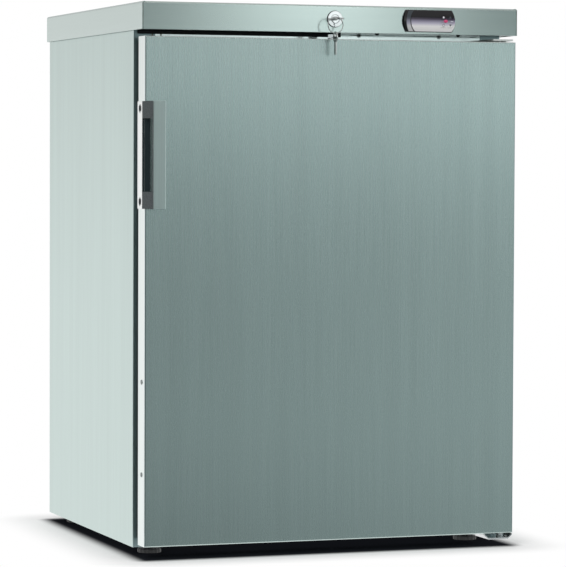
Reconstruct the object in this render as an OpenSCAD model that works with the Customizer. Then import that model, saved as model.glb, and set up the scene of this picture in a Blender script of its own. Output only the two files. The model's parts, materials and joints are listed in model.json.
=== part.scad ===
// Undercounter refrigerator: a foamed steel cabinet on four levelling feet, with a folded
// worktop, a lock and a controller in its front skirt, and one door hinged on the right.
// +X is right, +Y is back, +Z is up. The origin is on the floor, in the middle of the
// width and of the overall depth. All sizes are in millimetres.

/* [Cabinet] */
// Outside width of the cabinet and of the door
body_w = 593; // [540:1:640]
// Depth of the cabinet, front frame to rear edge
body_d = 479.5; // [440:0.5:560]
// Height of the cabinet, base to its own top panel
body_h = 783; // [740:1:860]
// Floor clearance under the base
foot_h = 13; // [12:1:30]
// Thickness of the outer sheet steel
shell_t = 0.8; // [0.5:0.1:1.2]
// Outer radius of the side panels' bends
shell_bend_r = 1.8; // [1.4:0.1:3]
// Thickness of the base pan
base_t = 1.2; // [0.8:0.1:2]
// Width of the side panels' front return
front_return = 34; // [30:1:42]
// Width of the side panels' rear return
rear_return = 14; // [8:1:24]
// Insulated side wall, outside to inside
side_wall = 48.5; // [47:0.5:60]
// Insulated back wall
back_wall = 48; // [40:1:70]
// Insulated ceiling
ceiling_wall = 73; // [68:1:90]
// Insulated floor
floor_wall = 59; // [55:1:80]
// Thickness of the plastic inner liner
liner_t = 2.5; // [1.5:0.1:4]
// Inside corner radius of the liner
cavity_r = 10; // [8:1:16]
// Height of the machine bay above the base
bay_h = 215; // [200:1:260]
// Depth of the machine bay
bay_d = 190; // [180:1:230]
// Insulation over and in front of the machine bay
bay_wall = 45; // [35:1:60]
// Radius of the liner's step nose
nose_r = 12; // [6:1:20]
// Depth kept behind the cabinet by the wall spacers
rear_gap = 38; // [32:1:60]

/* [Worktop] */
// Overhang of the worktop's skirt past the cabinet side
overhang = 3.5; // [2:0.1:8]
// Height of the folded skirt
skirt_h = 41; // [38:1:50]
// Thickness of the worktop sheet
cap_t = 1; // [0.8:0.1:1.5]
// Thickness of the board under the worktop sheet
board_t = 29; // [26:1:40]
// Outside bend radius of the worktop's edges
bend_r = 3; // [2:0.5:5]
// Depth of the return under the front skirt
skirt_return = 12; // [8:1:14]
// Gap at the worktop's open corners
corner_gap = 0.6; // [0.3:0.1:1.5]
// How far the front skirt stands behind the door's front
fascia_setback = 4; // [0:0.5:10]
// Depth of the space behind the front skirt
control_d = 75; // [70:1:110]

/* [Door] */
// Gap between the front skirt and the door's top edge
door_gap = 10; // [8:0.5:14]
// Height of the door's bottom edge over the cabinet's base
door_reveal = 7; // [5:0.5:12]
// Depth of the door's steel pan
pan_d = 35; // [30:1:50]
// Thickness of the door's steel sheet
door_t = 0.8; // [0.5:0.1:1.2]
// Outer radius of the door skin's bends
door_bend_r = 1.8; // [1.4:0.1:2.5]
// Width of the pan's return on its back
pan_return = 14; // [12:1:20]
// Depth of the plastic rim behind the pan
rim_d = 8.5; // [6:0.5:12]
// Inset of the rim from the pan's edge
rim_inset = 9; // [6:0.5:11]
// Depth of the magnetic gasket
gasket_d = 17.7; // [14:0.1:22]
// Inset of the gasket from the pan's edge
gasket_inset = 7.5; // [7.5:0.5:12]
// Width of the gasket's magnet head
gasket_w = 22; // [16:1:24]
// How far the door's inner panel enters the cabinet
plug_d = 10; // [4:1:20]
// Gap between the inner panel and the liner
plug_gap = 10; // [8:1:16]
// Hinge axis from the door's right edge
hinge_inset = 12; // [10:0.5:12]
// Hinge axis behind the door's front
hinge_back = 20; // [16:1:26]
// Radius of the hinge pins
pin_r = 4; // [3:0.5:5]

/* [Handle] */
// Height of the handle
handle_h = 158.5; // [120:0.5:240]
// Distance of the handle's top below the door's top
handle_drop = 96; // [50:1:170]
// Distance from the door's front to the grip's face
handle_out = 32; // [28:1:50]
// Width of the grip
grip_w = 20.5; // [16:0.5:30]
// Thickness of the grip
grip_t = 4; // [3:0.5:6]
// Height of each of the handle's legs
leg_h = 25.5; // [20:0.5:40]
// Thickness of the side plate and of the legs
plate_t = 3.2; // [2:0.1:3.4]
// Width of the side plate
plate_w = 23.6; // [20:0.1:28]
// Distance of the handle's screws from its ends
screw_inset = 10.5; // [8:0.5:16]

/* [Lock] */
// Distance of the lock's axis to the right of the centre
lock_x = 1.7; // [-3:0.1:4]
// Height of the lock's axis under the worktop
lock_drop = 21; // [19:0.5:22]
// Radius of the lock's front flange
lock_flange_r = 12; // [10:0.5:13]
// Radius of the lock's barrel
lock_barrel_r = 9.5; // [8.5:0.5:10.5]
// Radius of the turning plug
plug_r = 6.5; // [5:0.5:7]
// Width of the strike on the door
strike_w = 14; // [10:1:20]
// Distance of the strike behind the door's front
strike_back = 18; // [17:0.5:20]

/* [Controller] */
// Distance of the controller's middle to the right of the centre
control_x = 153.5; // [110:0.5:180]
// Width of the controller's front
control_w = 85.5; // [78:0.5:100]
// Height of the controller's front
control_h = 33.7; // [30:0.1:36]
// Radius of its curved ends
control_end_r = 32; // [24:1:40]
// How far its curved window stands out
window_out = 5; // [3:0.5:8]

/* [Interior] */
// Height of the lowest shelf over the cavity floor
shelf_first = 216; // [206:1:260]
// Height between shelves
shelf_pitch = 130; // [110:1:134]
// Radius of the shelf's frame rod
rod_r = 3; // [2:0.5:4]
// Radius of the shelf's wires
wire_r = 1.5; // [1:0.25:2]
// Number of wires in a shelf
wire_count = 19; // [11:1:27]
// Radius of the fan
fan_r = 52; // [40:1:60]

/* [Cooling] */
// Radius of the compressor's shell
comp_r = 72; // [60:1:80]
// Height of the compressor's shell
comp_h = 150; // [130:1:165]
// Radius of the condenser's tube
cond_tube_r = 2.5; // [2:0.25:3.5]
// Radius of the condenser's wires
cond_wire_r = 0.8; // [0.6:0.1:1.2]
// Height between the condenser's tube runs
cond_pitch = 44; // [36:1:52]
// Number of tube runs in the condenser
cond_runs = 11; // [7:2:11]
// Spacing of the condenser's wires
cond_wire_pitch = 14; // [10:1:20]

/* [Feet] */
// Radius of a foot's pad
foot_r = 18; // [14:1:24]
// Distance of a foot's axis from the cabinet's side, front and rear
foot_inset = 38; // [30:1:60]

/* [Hidden] */

$fn = 48;
fit = 0.05;          // radial running clearance
clear = 0.3;         // seated clearance between pieces that move or bend
eps = 1;             // how far a cut runs past a face

// Depth stations, front to back
door_d = pan_d + rim_d + gasket_d + clear;
overall_d = handle_out + door_d + body_d + rear_gap;
door_y = -overall_d / 2 + handle_out;
pan_y = door_y + pan_d;
rim_y = pan_y + rim_d;
cab_y = door_y + door_d;
back_y = cab_y + body_d;
fascia_y = door_y + fascia_setback;
cap_back_y = back_y + overhang;
board_y = fascia_y + control_d;

// Height stations
base_z = foot_h;
shell_top = base_z + body_h;
top_z = shell_top + board_t + cap_t;
skirt_z = top_z - skirt_h;
door_top = skirt_z - door_gap;
door_bot = base_z + door_reveal;
handle_top = door_top - handle_drop;
lock_z = top_z - lock_drop;
control_z = skirt_z + skirt_h / 2 - 0.8;

// Half widths
half_w = body_w / 2;
inner_w = half_w - shell_t;
cap_half = half_w + overhang;
return_x = half_w - front_return;

// The refrigerated space
cav_x = half_w - side_wall;
cav_bot = base_z + floor_wall;
cav_top = shell_top - ceiling_wall;
cav_back = back_y - back_wall;
flange_w = return_x - cav_x;
bay_top = base_z + bay_h;
bay_y = back_y - bay_d;
step_z = bay_top + bay_wall;
step_y = bay_y - bay_wall;

// Door
hinge_x = half_w - hinge_inset;
hinge_y = door_y + hinge_back;
bush_r = pin_r + 2.5;
bush_h = 18;
pin_reach = 15;
bracket_t = 2.5;
upper_bracket_z = door_top + 2.2;

// Hinge slots at the left of the front frame
slot_x = [-return_x - 4.5, -return_x + 9];
slot_z = door_top + 6;
slot_w = 2;
slot_h = 6;
slot_deep = 4;

weld = 0.4;          // depth that welded wires sink into each other

// Fan housing, motor and rotor
housing_x = 150;
housing_t = 2;
housing_r = 14;
housing_z1 = cav_top - cavity_r - 2;
housing_z0 = housing_z1 - 2 * (fan_r + 14);
fan_z = (housing_z0 + housing_z1) / 2;
housing_d = 62;
housing_y = cav_back - housing_d;
fan_gap = 4;
louvre_w = 56;
louvre_h = 4;
louvre_count = 7;
louvre_pitch = 12;
guard_rings = 4;
guard_over = 7;
guard_eye = 8;
rotor_y = housing_y + 3;
rotor_l = 22;
rotor_wall = 2;
hub_r = 16;
shaft_r = 2;
blade_count = 5;
blade_chord = 26;
blade_t = 1.6;
blade_pitch = 32;
motor_y = rotor_y + rotor_l + 2;
motor_r = 24;
motor_l = 28;
strap_w = 30;
strap_t = 2;

// Evaporator plate
evap_x = 190;
evap_gap = 8;
evap_t = 2;
evap_z0 = step_z + 25;
evap_z1 = housing_z0 - 12;
evap_stud = 20;
evap_passes = 6;
evap_pass_pitch = (evap_z1 - evap_z0 - 3 * evap_stud) / (evap_passes - 1);

// Shelves
shelf_count = 3;
shelf_y0 = cab_y + plug_d + 18;
shelf_y1 = cav_back - evap_gap - evap_t - 12;
shelf_bend = 14;
support_w = 11;
support_web = 3;
support_h = 4;
support_end = 4;
shelf_x = cav_x - support_web - rod_r - clear;
function shelf_z(i) = cav_bot + shelf_first + i * shelf_pitch;

// Control space
tray_t = 1;
tray_ledge = 12;
tray_screw_x = [-210, -85, 77, 210];
tray_screw_y = fascia_y + skirt_return + 6;
tray_screw_r = 1.4;
box_w = 70;
box_h = 27;
box_d = 55;
bezel_t = 1;
bezel_rim = 1;
key_x = 23;
key_pitch_x = 11;
key_pitch_z = 12;
key_w = 8;
key_h = 7;
key_gap = 0.3;
key_travel = 0.8;

// Lock, keys and strike
flange_t = 2.5;
nut_t = 4;
strike_y = door_y + strike_back;
strike_t = 1.6;
strike_h = door_gap - 2.3;
strike_foot = 10;
strike_x = lock_x + 1.5;
strike_screw_r = 1.5;
strike_screw_l = 10;
strike_screw_y = strike_y - strike_foot / 2;
cam_y = strike_y + strike_t + 0.6;
cam_t = 2;
cam_w = 12;
cam_l = lock_z - door_top - 2;
cam_clear = 1;
cam_screw_r = 2.5;
key_t = 2;
key_blade_w = 6;
key_depth = 12;
key_bow_r = 8;
key_rim = 1.2;
key_slot_r = 3.2;
key_slot_y = 3.5;
key_slot_half = sqrt(key_bow_r * key_bow_r - key_slot_y * key_slot_y) - key_rim;
key_spare_l = 18.5;
bow_y = fascia_y - flange_t - 15;
ring_r = 12;
ring_wire_r = 0.75;
ring_x = lock_x - key_slot_half - key_rim / 2;
ring_y = bow_y - key_slot_y;
ring_z = lock_z + ring_wire_r + key_t / 2 + clear - ring_r;
spare_z = ring_z - ring_r + ring_wire_r + clear - key_slot_r - key_slot_y;

// Hinge brackets
bracket_setback = 8;
hinge_flange = 6.8;
bracket_screw_z = door_top - 2.9;
bracket_head_r = 3.3;
upper_x0 = hinge_x - 22;
upper_x1 = hinge_x + 11;
bracket_screw_x = [upper_x0 + 7, upper_x1 - 7];
bracket_screw_r = 2;
lower_x0 = half_w - 46;
lower_x1 = half_w;
lower_setback = 2;
lower_reach = 22;
joggle_rise = 7;

// Gasket parts: front and back as shares of its depth, and inset
gasket_parts = [[0, 0.25, 3], [0.25, 0.6, 7], [0.6, 1, 0]];

// Handle and its screws
plate_y = door_y + 4.4;
grip_x0 = -half_w + 2.5;
grip_lip = 8;
strip_x = -half_w + 7.7;
strip_t = 1.2;
screw_y = plate_y + 10.9;
handle_screw_z = [handle_top - screw_inset, handle_top - handle_h + screw_inset];
plug_z = [for (z = handle_screw_z) door_top + door_bot - z];
screw_shank_r = 2.4;
screw_recess_r = 6.5;
recess_d = 1.6;
screw_l = 22;
plug_head_r = 3.6;
plug_head_t = 0.8;

// Machine bay
bay_lip = 12;
comp_x = -60;
comp_y = back_y - bay_d / 2 - 4;
comp_z = base_z + base_t + 16;
comp_dome_r = 34;
comp_flange = 2.5;
comp_plate_t = 3;
comp_foot_x = 78;
comp_foot_y = 54;
mount_r = 10;
stud_r = 3;
pipe_r = 3.2;
pipe_bend = 14;
pipe_sides = 10;
bend_steps = 5;
discharge_h = 60;
suction_h = 102;
suction_x = comp_x + comp_r + 60;
pipe_up_y = cav_back - evap_gap - evap_t / 2;
drain_x = comp_x;
drain_y = bay_y + 60;
drain_r = 7;
drain_tray_h = 22;
drain_tray_x = 62;
drain_tray_y = 52;
inlet_x = inner_w - 48;
inlet_plate_h = 62;
inlet_plate_d = 56;
inlet_plate_t = 2;
inlet_inset = 14;
inlet_body = 28;
inlet_body_h = 24;
inlet_rise = 4;
inlet_pin_r = 9;
inlet_pin_l = 10;

// Condenser
cond_y = back_y + rear_gap - 14;
cond_margin = 51.7;
cond_half = inner_w - cond_margin;
cond_bend = cond_pitch / 2;
cond_top = shell_top - 50;
function cond_z(k) = cond_top - (cond_runs - 1 - k) * cond_pitch;
cond_wires = 2 * floor((cond_half - cond_bend - 16) / cond_wire_pitch) + 1;
cond_over = 12;
clip_w = 8;
clip_h = 22;
clip_x = cond_half - cond_bend - clip_w / 2 - 1;
riser_x = -cond_half + cond_bend - pipe_bend - 2;
liquid_x = cond_half + 14;
drier_y = back_y - 22;
drier_z = base_z + 90;
drier_l = 90;
drier_top = drier_z + drier_l;
drier_r = 10;
drier_neck = 12;
spacer_x = half_w - 28;
spacer_z = shell_top - 26;
spacer_r = 8;

// Feet
foot_x = half_w - foot_inset;
foot_y = [cab_y + foot_inset, back_y - foot_inset];
pad_h = 7;
stem_r = 5;
stem_l = 23;
socket_r = 7;
socket_h = 14;
socket_nut = 4;

// ---------- helpers ----------

// A box given by its limits
module block(x0, x1, y0, y1, z0, z1) {
    translate([x0, y0, z0]) cube([x1 - x0, y1 - y0, z1 - z0]);
}

// A 2D rectangle with four round corners, given by its limits
module round_rect(x0, x1, y0, y1, r) {
    translate([x0 + r, y0]) square([x1 - x0 - 2 * r, y1 - y0]);
    translate([x0, y0 + r]) square([x1 - x0, y1 - y0 - 2 * r]);
    for (x = [x0 + r, x1 - r], y = [y0 + r, y1 - r]) translate([x, y]) circle(r);
}

// A 2D shape drawn in X and Z, extruded from y0 back to y1
module along_y(y0, y1) {
    translate([0, y1, 0]) rotate([90, 0, 0]) linear_extrude(y1 - y0) children();
}

// A 2D shape drawn in Y and Z, extruded from x0 right to x1
module along_x(x0, x1) {
    translate([x0, 0, 0]) rotate([90, 0, 90]) linear_extrude(x1 - x0) children();
}

// Cylinders along each axis, from a start point
module rod_x(p, r, l) { translate(p) rotate([0, 90, 0]) cylinder(r = r, h = l); }
module rod_y(p, r, l) { translate(p) rotate([-90, 0, 0]) cylinder(r = r, h = l); }
module rod_z(p, r, l) { translate(p) cylinder(r = r, h = l); }

// The same piece at the left and at the right
module both_sides() {
    children();
    mirror([1, 0, 0]) children();
}

// A pan-head screw whose head stands on a face at the origin and points along +Z
module screw(head_r, head_h, shank_r, shank_l) {
    intersection() {
        cylinder(r = head_r, h = head_h);
        translate([0, 0, head_h - head_r * 1.35]) sphere(head_r * 1.35);
    }
    translate([0, 0, -shank_l]) cylinder(r = shank_r, h = shank_l + head_h / 3);
}

// ---------- cabinet ----------

// Plan of the space between the side panels, with their inner bends at its corners
module inside_plan() {
    round_rect(-inner_w, inner_w, cab_y + shell_t, back_y - shell_t, shell_bend_r - shell_t);
}

// What lies between the side panels, trimmed to their bends
module between_sides() {
    intersection() {
        children();
        translate([0, 0, base_z]) linear_extrude(body_h) inside_plan();
    }
}

// One folded side panel, drawn on the right: the side and its front and rear returns
module side_sheet() {
    translate([0, 0, base_z]) linear_extrude(body_h) difference() {
        round_rect(return_x - front_return, half_w, cab_y, back_y, shell_bend_r);
        inside_plan();
        translate([return_x - 2 * front_return, cab_y - eps])
            square([2 * front_return, body_d + 2 * eps]);
        translate([return_x - eps, cab_y + body_d / 2])
            square([front_return - rear_return + eps, body_d]);
    }
}

module side_panel_right() {
    color("lightgray") side_sheet();
}

module side_panel_left() {
    color("lightgray") difference() {
        mirror([1, 0, 0]) side_sheet();
        hinge_slot(slot_x[0], 0);
    }
}

// Upright slot in the front frame, where a door hung on the left has its hinge
module hinge_slot(x, deep) {
    block(x - slot_w / 2, x + slot_w / 2, cab_y - eps, cab_y + shell_t + deep + eps / 10,
          slot_z - slot_h / 2, slot_z + slot_h / 2);
}

// The top sheet, folded down at the front into the upper rail that the gasket meets
module top_panel() {
    color("silver") difference() {
        union() {
            between_sides() block(-inner_w, inner_w, cab_y, back_y, shell_top - shell_t, shell_top);
            block(-return_x, return_x, cab_y, cab_y + shell_t, cav_top + flange_w, shell_top);
            block(-return_x, return_x, cab_y, cab_y + shell_t + weld, shell_top - shell_t,
                  shell_top);
        }
        hinge_slot(slot_x[1], 0);
    }
}

// The base, folded up at the front into the lower rail and at the back into a lip
module base_pan() {
    color("silver") difference() {
        union() {
            between_sides() block(-inner_w, inner_w, cab_y, back_y, base_z, base_z + base_t);
            block(-return_x, return_x, cab_y, cab_y + shell_t, base_z, cav_bot - flange_w);
            block(-return_x, return_x, cab_y, cab_y + shell_t + weld, base_z, base_z + base_t);
            between_sides() block(-inner_w, inner_w, back_y - shell_t - base_t, back_y,
                                  base_z, base_z + bay_lip);
        }
        for (x = [-1, 1], y = [-1, 1])
            rod_z([comp_x + x * comp_foot_x, comp_y + y * comp_foot_y, base_z - eps],
                  stud_r + clear, base_t + 2 * eps);
        foot_places() rod_z([0, 0, base_z - eps], socket_r + clear, base_t + 2 * eps);
    }
}

// The four places of the feet
module foot_places() {
    for (x = [-foot_x, foot_x], y = foot_y) translate([x, y, 0]) children();
}

// The back sheet: down the back, forward over the machine bay, then down to the base
module back_panel() {
    color("darkgray") difference() {
        between_sides() along_x(-inner_w, inner_w) {
            translate([back_y - 2 * shell_t, bay_top])
                square([shell_t, shell_top - shell_t - bay_top]);
            translate([bay_y, bay_top]) square([bay_d - shell_t, shell_t]);
            translate([bay_y, base_z + base_t])
                square([shell_t, bay_h - base_t + shell_t]);
        }
        rod_z([drain_x, drain_y, bay_top - eps], drain_r + clear, shell_t + 2 * eps);
        rod_z([suction_x, pipe_up_y, bay_top - eps], pipe_r + clear, shell_t + 2 * eps);
    }
}

// The refrigerated space in Y and Z: full depth above the machine bay, shallow in front of it
module cavity_side(grow, front) {
    r = cavity_r + grow;
    upper_back = cav_back + grow;
    lower_back = step_y + grow;
    low = cav_bot - grow;
    high = cav_top + grow;
    step = step_z - grow;
    nose = nose_r - grow;
    translate([front, step]) square([upper_back - r - front, high - step]);
    translate([front, step + r]) square([upper_back - front, high - step - 2 * r]);
    for (z = [step + r, high - r]) translate([upper_back - r, z]) circle(r);
    translate([front, low]) square([lower_back - r - front, high - low]);
    translate([front, low + r]) square([lower_back - front, step - low]);
    translate([lower_back - r, low + r]) circle(r);
    difference() {
        translate([lower_back - eps, step - nose]) square([nose + eps, nose + eps]);
        translate([lower_back + nose, step - nose]) circle(nose);
    }
}

// The same space as a solid, with round corners seen from the side and from the front
module cavity_form(grow, front) {
    intersection() {
        along_x(-cav_x - grow, cav_x + grow) cavity_side(grow, front);
        along_y(front - eps, cav_back + grow + eps)
            round_rect(-cav_x - grow, cav_x + grow, cav_bot - grow, cav_top + grow,
                       cavity_r + grow);
    }
}

// Polyurethane foam between the steel and the liner
module insulation_foam() {
    color("khaki") difference() {
        between_sides() block(-inner_w, inner_w, cab_y, back_y - 2 * shell_t,
                              base_z + base_t, shell_top - shell_t);
        for (x = slot_x) hinge_slot(x, slot_deep);
        foot_places() rod_z([0, 0, base_z], socket_r + clear, socket_h + clear);
        cavity_form(liner_t, cab_y);
        block(-return_x, return_x, cab_y, cab_y + liner_t,
              cav_bot - flange_w, cav_top + flange_w);
        block(-inner_w - eps, inner_w + eps, bay_y, back_y, base_z, bay_top + shell_t);
        rod_z([drain_x, drain_y, bay_top], drain_r, step_z - bay_top);
        rod_z([suction_x, pipe_up_y, bay_top], pipe_r + clear, step_z + cavity_r - bay_top);
    }
}

// White thermoformed liner with a flange round its front
module inner_liner() {
    color("white") difference() {
        union() {
            cavity_form(liner_t, cab_y);
            block(-return_x, return_x, cab_y, cab_y + liner_t,
                  cav_bot - flange_w, cav_top + flange_w);
        }
        cavity_form(0, cab_y - eps);
        rod_z([drain_x, drain_y, step_z - liner_t - eps], drain_r, liner_t + 2 * eps);
        rod_z([suction_x, pipe_up_y, step_z - liner_t - eps], pipe_r + clear,
              liner_t + cavity_r);
    }
}

// ---------- shelves ----------

// Moulded supports on the liner's side walls, one pair under each shelf
module shelf_supports() {
    color("whitesmoke") both_sides() for (i = [0 : shelf_count - 1])
        difference() {
            block(cav_x - support_w, cav_x, shelf_y0 - support_end, shelf_y1 + support_end,
                  shelf_z(i) - rod_r - clear - support_h, shelf_z(i) + rod_r);
            block(cav_x - support_w - eps, cav_x - support_web, shelf_y0 - clear,
                  shelf_y1 + clear, shelf_z(i) - rod_r - clear, shelf_z(i) + rod_r + eps);
        }
}

// The round-cornered frame rod of one shelf, in its own plane
module shelf_frame() {
    hx = shelf_x;
    y0 = shelf_y0 + rod_r;
    y1 = shelf_y1 - rod_r;
    for (x = [-hx, hx]) rod_y([x, y0 + shelf_bend, 0], rod_r, y1 - y0 - 2 * shelf_bend);
    for (y = [y0, y1]) rod_x([-hx + shelf_bend, y, 0], rod_r, 2 * (hx - shelf_bend));
    for (c = [[hx - shelf_bend, y1 - shelf_bend, 0], [-hx + shelf_bend, y1 - shelf_bend, 90],
              [-hx + shelf_bend, y0 + shelf_bend, 180], [hx - shelf_bend, y0 + shelf_bend, 270]])
        translate([c[0], c[1], 0]) rotate([0, 0, c[2]])
            rotate_extrude(angle = 90) translate([shelf_bend, 0]) circle(rod_r);
}

// Chromed wire shelves: a frame rod, a cross rod and the wires that lie on them
module wire_shelves() {
    step = 2 * (shelf_x - shelf_bend) / (wire_count - 1);
    color("gainsboro") for (i = [0 : shelf_count - 1]) translate([0, 0, shelf_z(i)]) {
        shelf_frame();
        rod_x([-shelf_x, (shelf_y0 + shelf_y1) / 2, 0], wire_r + 0.5, 2 * shelf_x);
        for (k = [0 : wire_count - 1])
            rod_y([-shelf_x + shelf_bend + k * step, shelf_y0 + rod_r, rod_r + wire_r - weld],
                  wire_r, shelf_y1 - shelf_y0 - 2 * rod_r);
    }
}

// ---------- evaporator and fan ----------

// Roll-bonded aluminium plate on four studs at the back wall
module evaporator_plate() {
    color("lightsteelblue") {
        block(-evap_x, evap_x, cav_back - evap_gap - evap_t, cav_back - evap_gap,
              evap_z0, evap_z1);
        for (x = [-1, 1], z = [evap_z0 + evap_stud, evap_z1 - evap_stud])
            rod_y([x * (evap_x - evap_stud), cav_back - evap_gap - eps, z], 4, evap_gap + eps);
        for (k = [0 : evap_passes - 1])
            rod_x([-evap_x + evap_stud, cav_back - evap_gap - evap_t,
                   evap_z0 + evap_stud * 1.5 + k * evap_pass_pitch],
                  3, 2 * (evap_x - evap_stud));
    }
}

// Outline of the fan housing, seen from the front
module housing_outline(inset) {
    round_rect(-housing_x + inset, housing_x - inset, housing_z0 + inset, housing_z1 - inset,
               housing_r - inset);
}

// Moulded housing with a round fan opening and two banks of louvres
module fan_housing() {
    color("white") difference() {
        along_y(housing_y, cav_back) housing_outline(0);
        along_y(housing_y + housing_t, cav_back + eps) housing_outline(housing_t);
        rod_y([0, housing_y - eps, fan_z], fan_r + fan_gap, housing_t + 2 * eps);
        for (side = [-1, 1], k = [0 : louvre_count - 1])
            translate([side * (housing_x - louvre_w / 2 - housing_r),
                       housing_y, fan_z + (k - (louvre_count - 1) / 2) * louvre_pitch])
                cube([louvre_w, 3 * housing_t, louvre_h], center = true);
    }
}

// Round wire guard in front of the fan, clipped to the housing
module fan_guard() {
    y = housing_y - wire_r;
    color("gainsboro") {
        for (k = [1 : guard_rings])
            translate([0, y, fan_z]) rotate([90, 0, 0])
                rotate_extrude() translate([k * (fan_r + guard_over) / guard_rings, 0])
                    circle(wire_r);
        for (a = [0 : 45 : 315])
            translate([0, y - weld, fan_z]) rotate([0, a, 0])
                rod_x([guard_eye, 0, 0], wire_r - 0.2, fan_r + guard_over - guard_eye);
        rod_y([0, y - wire_r - weld, fan_z], guard_eye + 2, 2 * wire_r);
    }
}

// Fan motor on an upright strap between the housing's floor and roof
module fan_motor() {
    color("dimgray") {
        rod_y([0, motor_y, fan_z], motor_r, motor_l);
        block(-strap_w / 2, strap_w / 2, motor_y + motor_l - strap_t, motor_y + motor_l,
              housing_z0 + housing_t, housing_z1 - housing_t);
        rod_y([0, rotor_y + rotor_wall + clear, fan_z], shaft_r,
              motor_y - rotor_y - rotor_wall - clear + eps);
    }
}

// Fan rotor: a hub with pitched blades, bored for the motor's shaft
module fan_rotor() {
    color("black") difference() {
        translate([0, rotor_y, fan_z]) rotate([-90, 0, 0]) {
            cylinder(r = hub_r, h = rotor_l);
            for (a = [0 : 360 / blade_count : 359])
                rotate([0, 0, a]) translate([0, 0, rotor_l / 2]) rotate([90, 0, 0])
                    linear_extrude(fan_r) rotate(blade_pitch)
                        square([blade_chord, blade_t], center = true);
        }
        rod_y([0, rotor_y + rotor_wall, fan_z], shaft_r + fit, rotor_l);
        difference() {
            rod_y([0, rotor_y - blade_chord, fan_z], 2 * fan_r, rotor_l + 2 * blade_chord);
            rod_y([0, rotor_y - blade_chord - eps, fan_z], fan_r,
                  rotor_l + 2 * blade_chord + 2 * eps);
        }
    }
}

// ---------- worktop ----------

// Section of a folded edge: the sheet turns down at the left through a quarter bend
module folded_edge(len, drop) {
    translate([bend_r, -cap_t]) square([len - bend_r, cap_t]);
    translate([0, -drop]) square([cap_t, drop - bend_r]);
    intersection() {
        translate([0, -bend_r]) square(bend_r);
        difference() {
            translate([bend_r, -bend_r]) circle(bend_r);
            translate([bend_r, -bend_r]) circle(bend_r - cap_t);
        }
    }
}

// Worktop folded from one sheet: four skirts with open corners, and a return in front
module worktop_cap() {
    skirt_y0 = fascia_y + bend_r;
    color("lightgray") difference() {
        union() {
            translate([0, 0, top_z]) along_x(-cap_half + corner_gap + cap_t,
                                             cap_half - corner_gap - cap_t)
                translate([fascia_y, 0]) folded_edge(cap_back_y - bend_r - fascia_y, skirt_h);
            translate([0, 0, top_z]) along_x(-cap_half + corner_gap + cap_t,
                                             cap_half - corner_gap - cap_t)
                translate([cap_back_y, 0]) mirror([1, 0]) folded_edge(2 * bend_r, skirt_h);
            block(-cap_half + corner_gap + cap_t, cap_half - corner_gap - cap_t,
                  fascia_y, fascia_y + skirt_return, skirt_z, skirt_z + cap_t);
            both_sides() translate([-cap_half, 0, top_z])
                along_y(fascia_y, cap_back_y) folded_edge(corner_gap + cap_t + bend_r, skirt_h);
        }
        rod_y([lock_x, fascia_y - eps, lock_z], lock_barrel_r + clear, cap_t + 2 * eps);
        block(control_x - box_w / 2 - clear, control_x + box_w / 2 + clear,
              fascia_y - eps, fascia_y + cap_t + eps,
              control_z - box_h / 2 - clear, control_z + box_h / 2 + clear);
    }
}

// Board that backs the worktop sheet and lies on the cabinet's top panel
module worktop_board() {
    color("burlywood") block(-half_w, half_w, board_y, back_y, shell_top, top_z - cap_t);
}

// Sheet that closes the control space from below, with a slot for the lock's cam
module control_tray() {
    color("silver") difference() {
        union() {
            block(-half_w + 1, half_w - 1, fascia_y + cap_t, cab_y, skirt_z + cap_t,
                  skirt_z + cap_t + tray_t);
            block(-return_x, return_x, cab_y - tray_t, cab_y, skirt_z + cap_t, shell_top);
            block(-return_x, return_x, cab_y - tray_t, cab_y + tray_ledge,
                  shell_top, shell_top + tray_t);
        }
        block(lock_x - plug_r - cam_clear, lock_x + cam_l + cam_clear, cam_y - cam_clear,
              cam_y + cam_t + cam_clear, skirt_z, skirt_z + 3 * cap_t);
        for (x = tray_screw_x)
            rod_z([x, tray_screw_y, skirt_z], tray_screw_r + 0.1, 3 * cap_t);
    }
}

// Screws under the tray and in the upper hinge bracket
module cabinet_screws() {
    color("darkslategray") {
        for (x = tray_screw_x)
            translate([x, tray_screw_y, skirt_z + cap_t]) rotate([180, 0, 0])
                screw(3.5, 2.4, tray_screw_r, tray_t);
        for (x = bracket_screw_x)
            translate([x, cab_y - bracket_t, bracket_screw_z]) rotate([90, 0, 0])
                screw(bracket_head_r, 2, bracket_screw_r, bracket_t);
    }
}

// ---------- controller ----------

// Outline of the controller's front: a band whose two ends are arcs
module control_outline(inset) {
    h = control_h - 2 * inset;
    c = control_w / 2 - control_end_r;
    intersection() {
        union() {
            for (x = [-c, c]) translate([x, 0]) circle(control_end_r - inset);
            square([2 * abs(c), h], center = true);
        }
        square([control_w, h], center = true);
    }
}

// Case of the controller, behind the skirt
module controller_housing() {
    color("dimgray") translate([control_x, 0, control_z])
        block(-box_w / 2, box_w / 2, fascia_y, fascia_y + box_d, -box_h / 2, box_h / 2);
}

module controller_bezel() {
    color("black") translate([control_x, 0, control_z])
        along_y(fascia_y - bezel_t, fascia_y) control_outline(0);
}

// Convex form of the window: a round bar lying across the front, cut to the outline
module window_form() {
    half = control_h / 2 - bezel_rim;
    rise = window_out - bezel_t;
    r = (half * half + rise * rise) / (2 * rise);
    intersection() {
        along_y(fascia_y - window_out, fascia_y - bezel_t) control_outline(bezel_rim);
        rod_x([-control_w, fascia_y - window_out + r, 0], r, 2 * control_w);
    }
}

// Places of the four keys on the controller, from its middle
function key_at(i) = [key_x + (i % 2) * key_pitch_x, (i < 2 ? 1 : -1) * key_pitch_z / 2];

module key_block(i, gap) {
    block(key_at(i)[0] - key_w / 2 - gap, key_at(i)[0] + key_w / 2 + gap,
          fascia_y - window_out - eps, fascia_y - bezel_t - (gap > 0 ? -eps : key_travel + 0.1),
          key_at(i)[1] - key_h / 2 - gap, key_at(i)[1] + key_h / 2 + gap);
}

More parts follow.
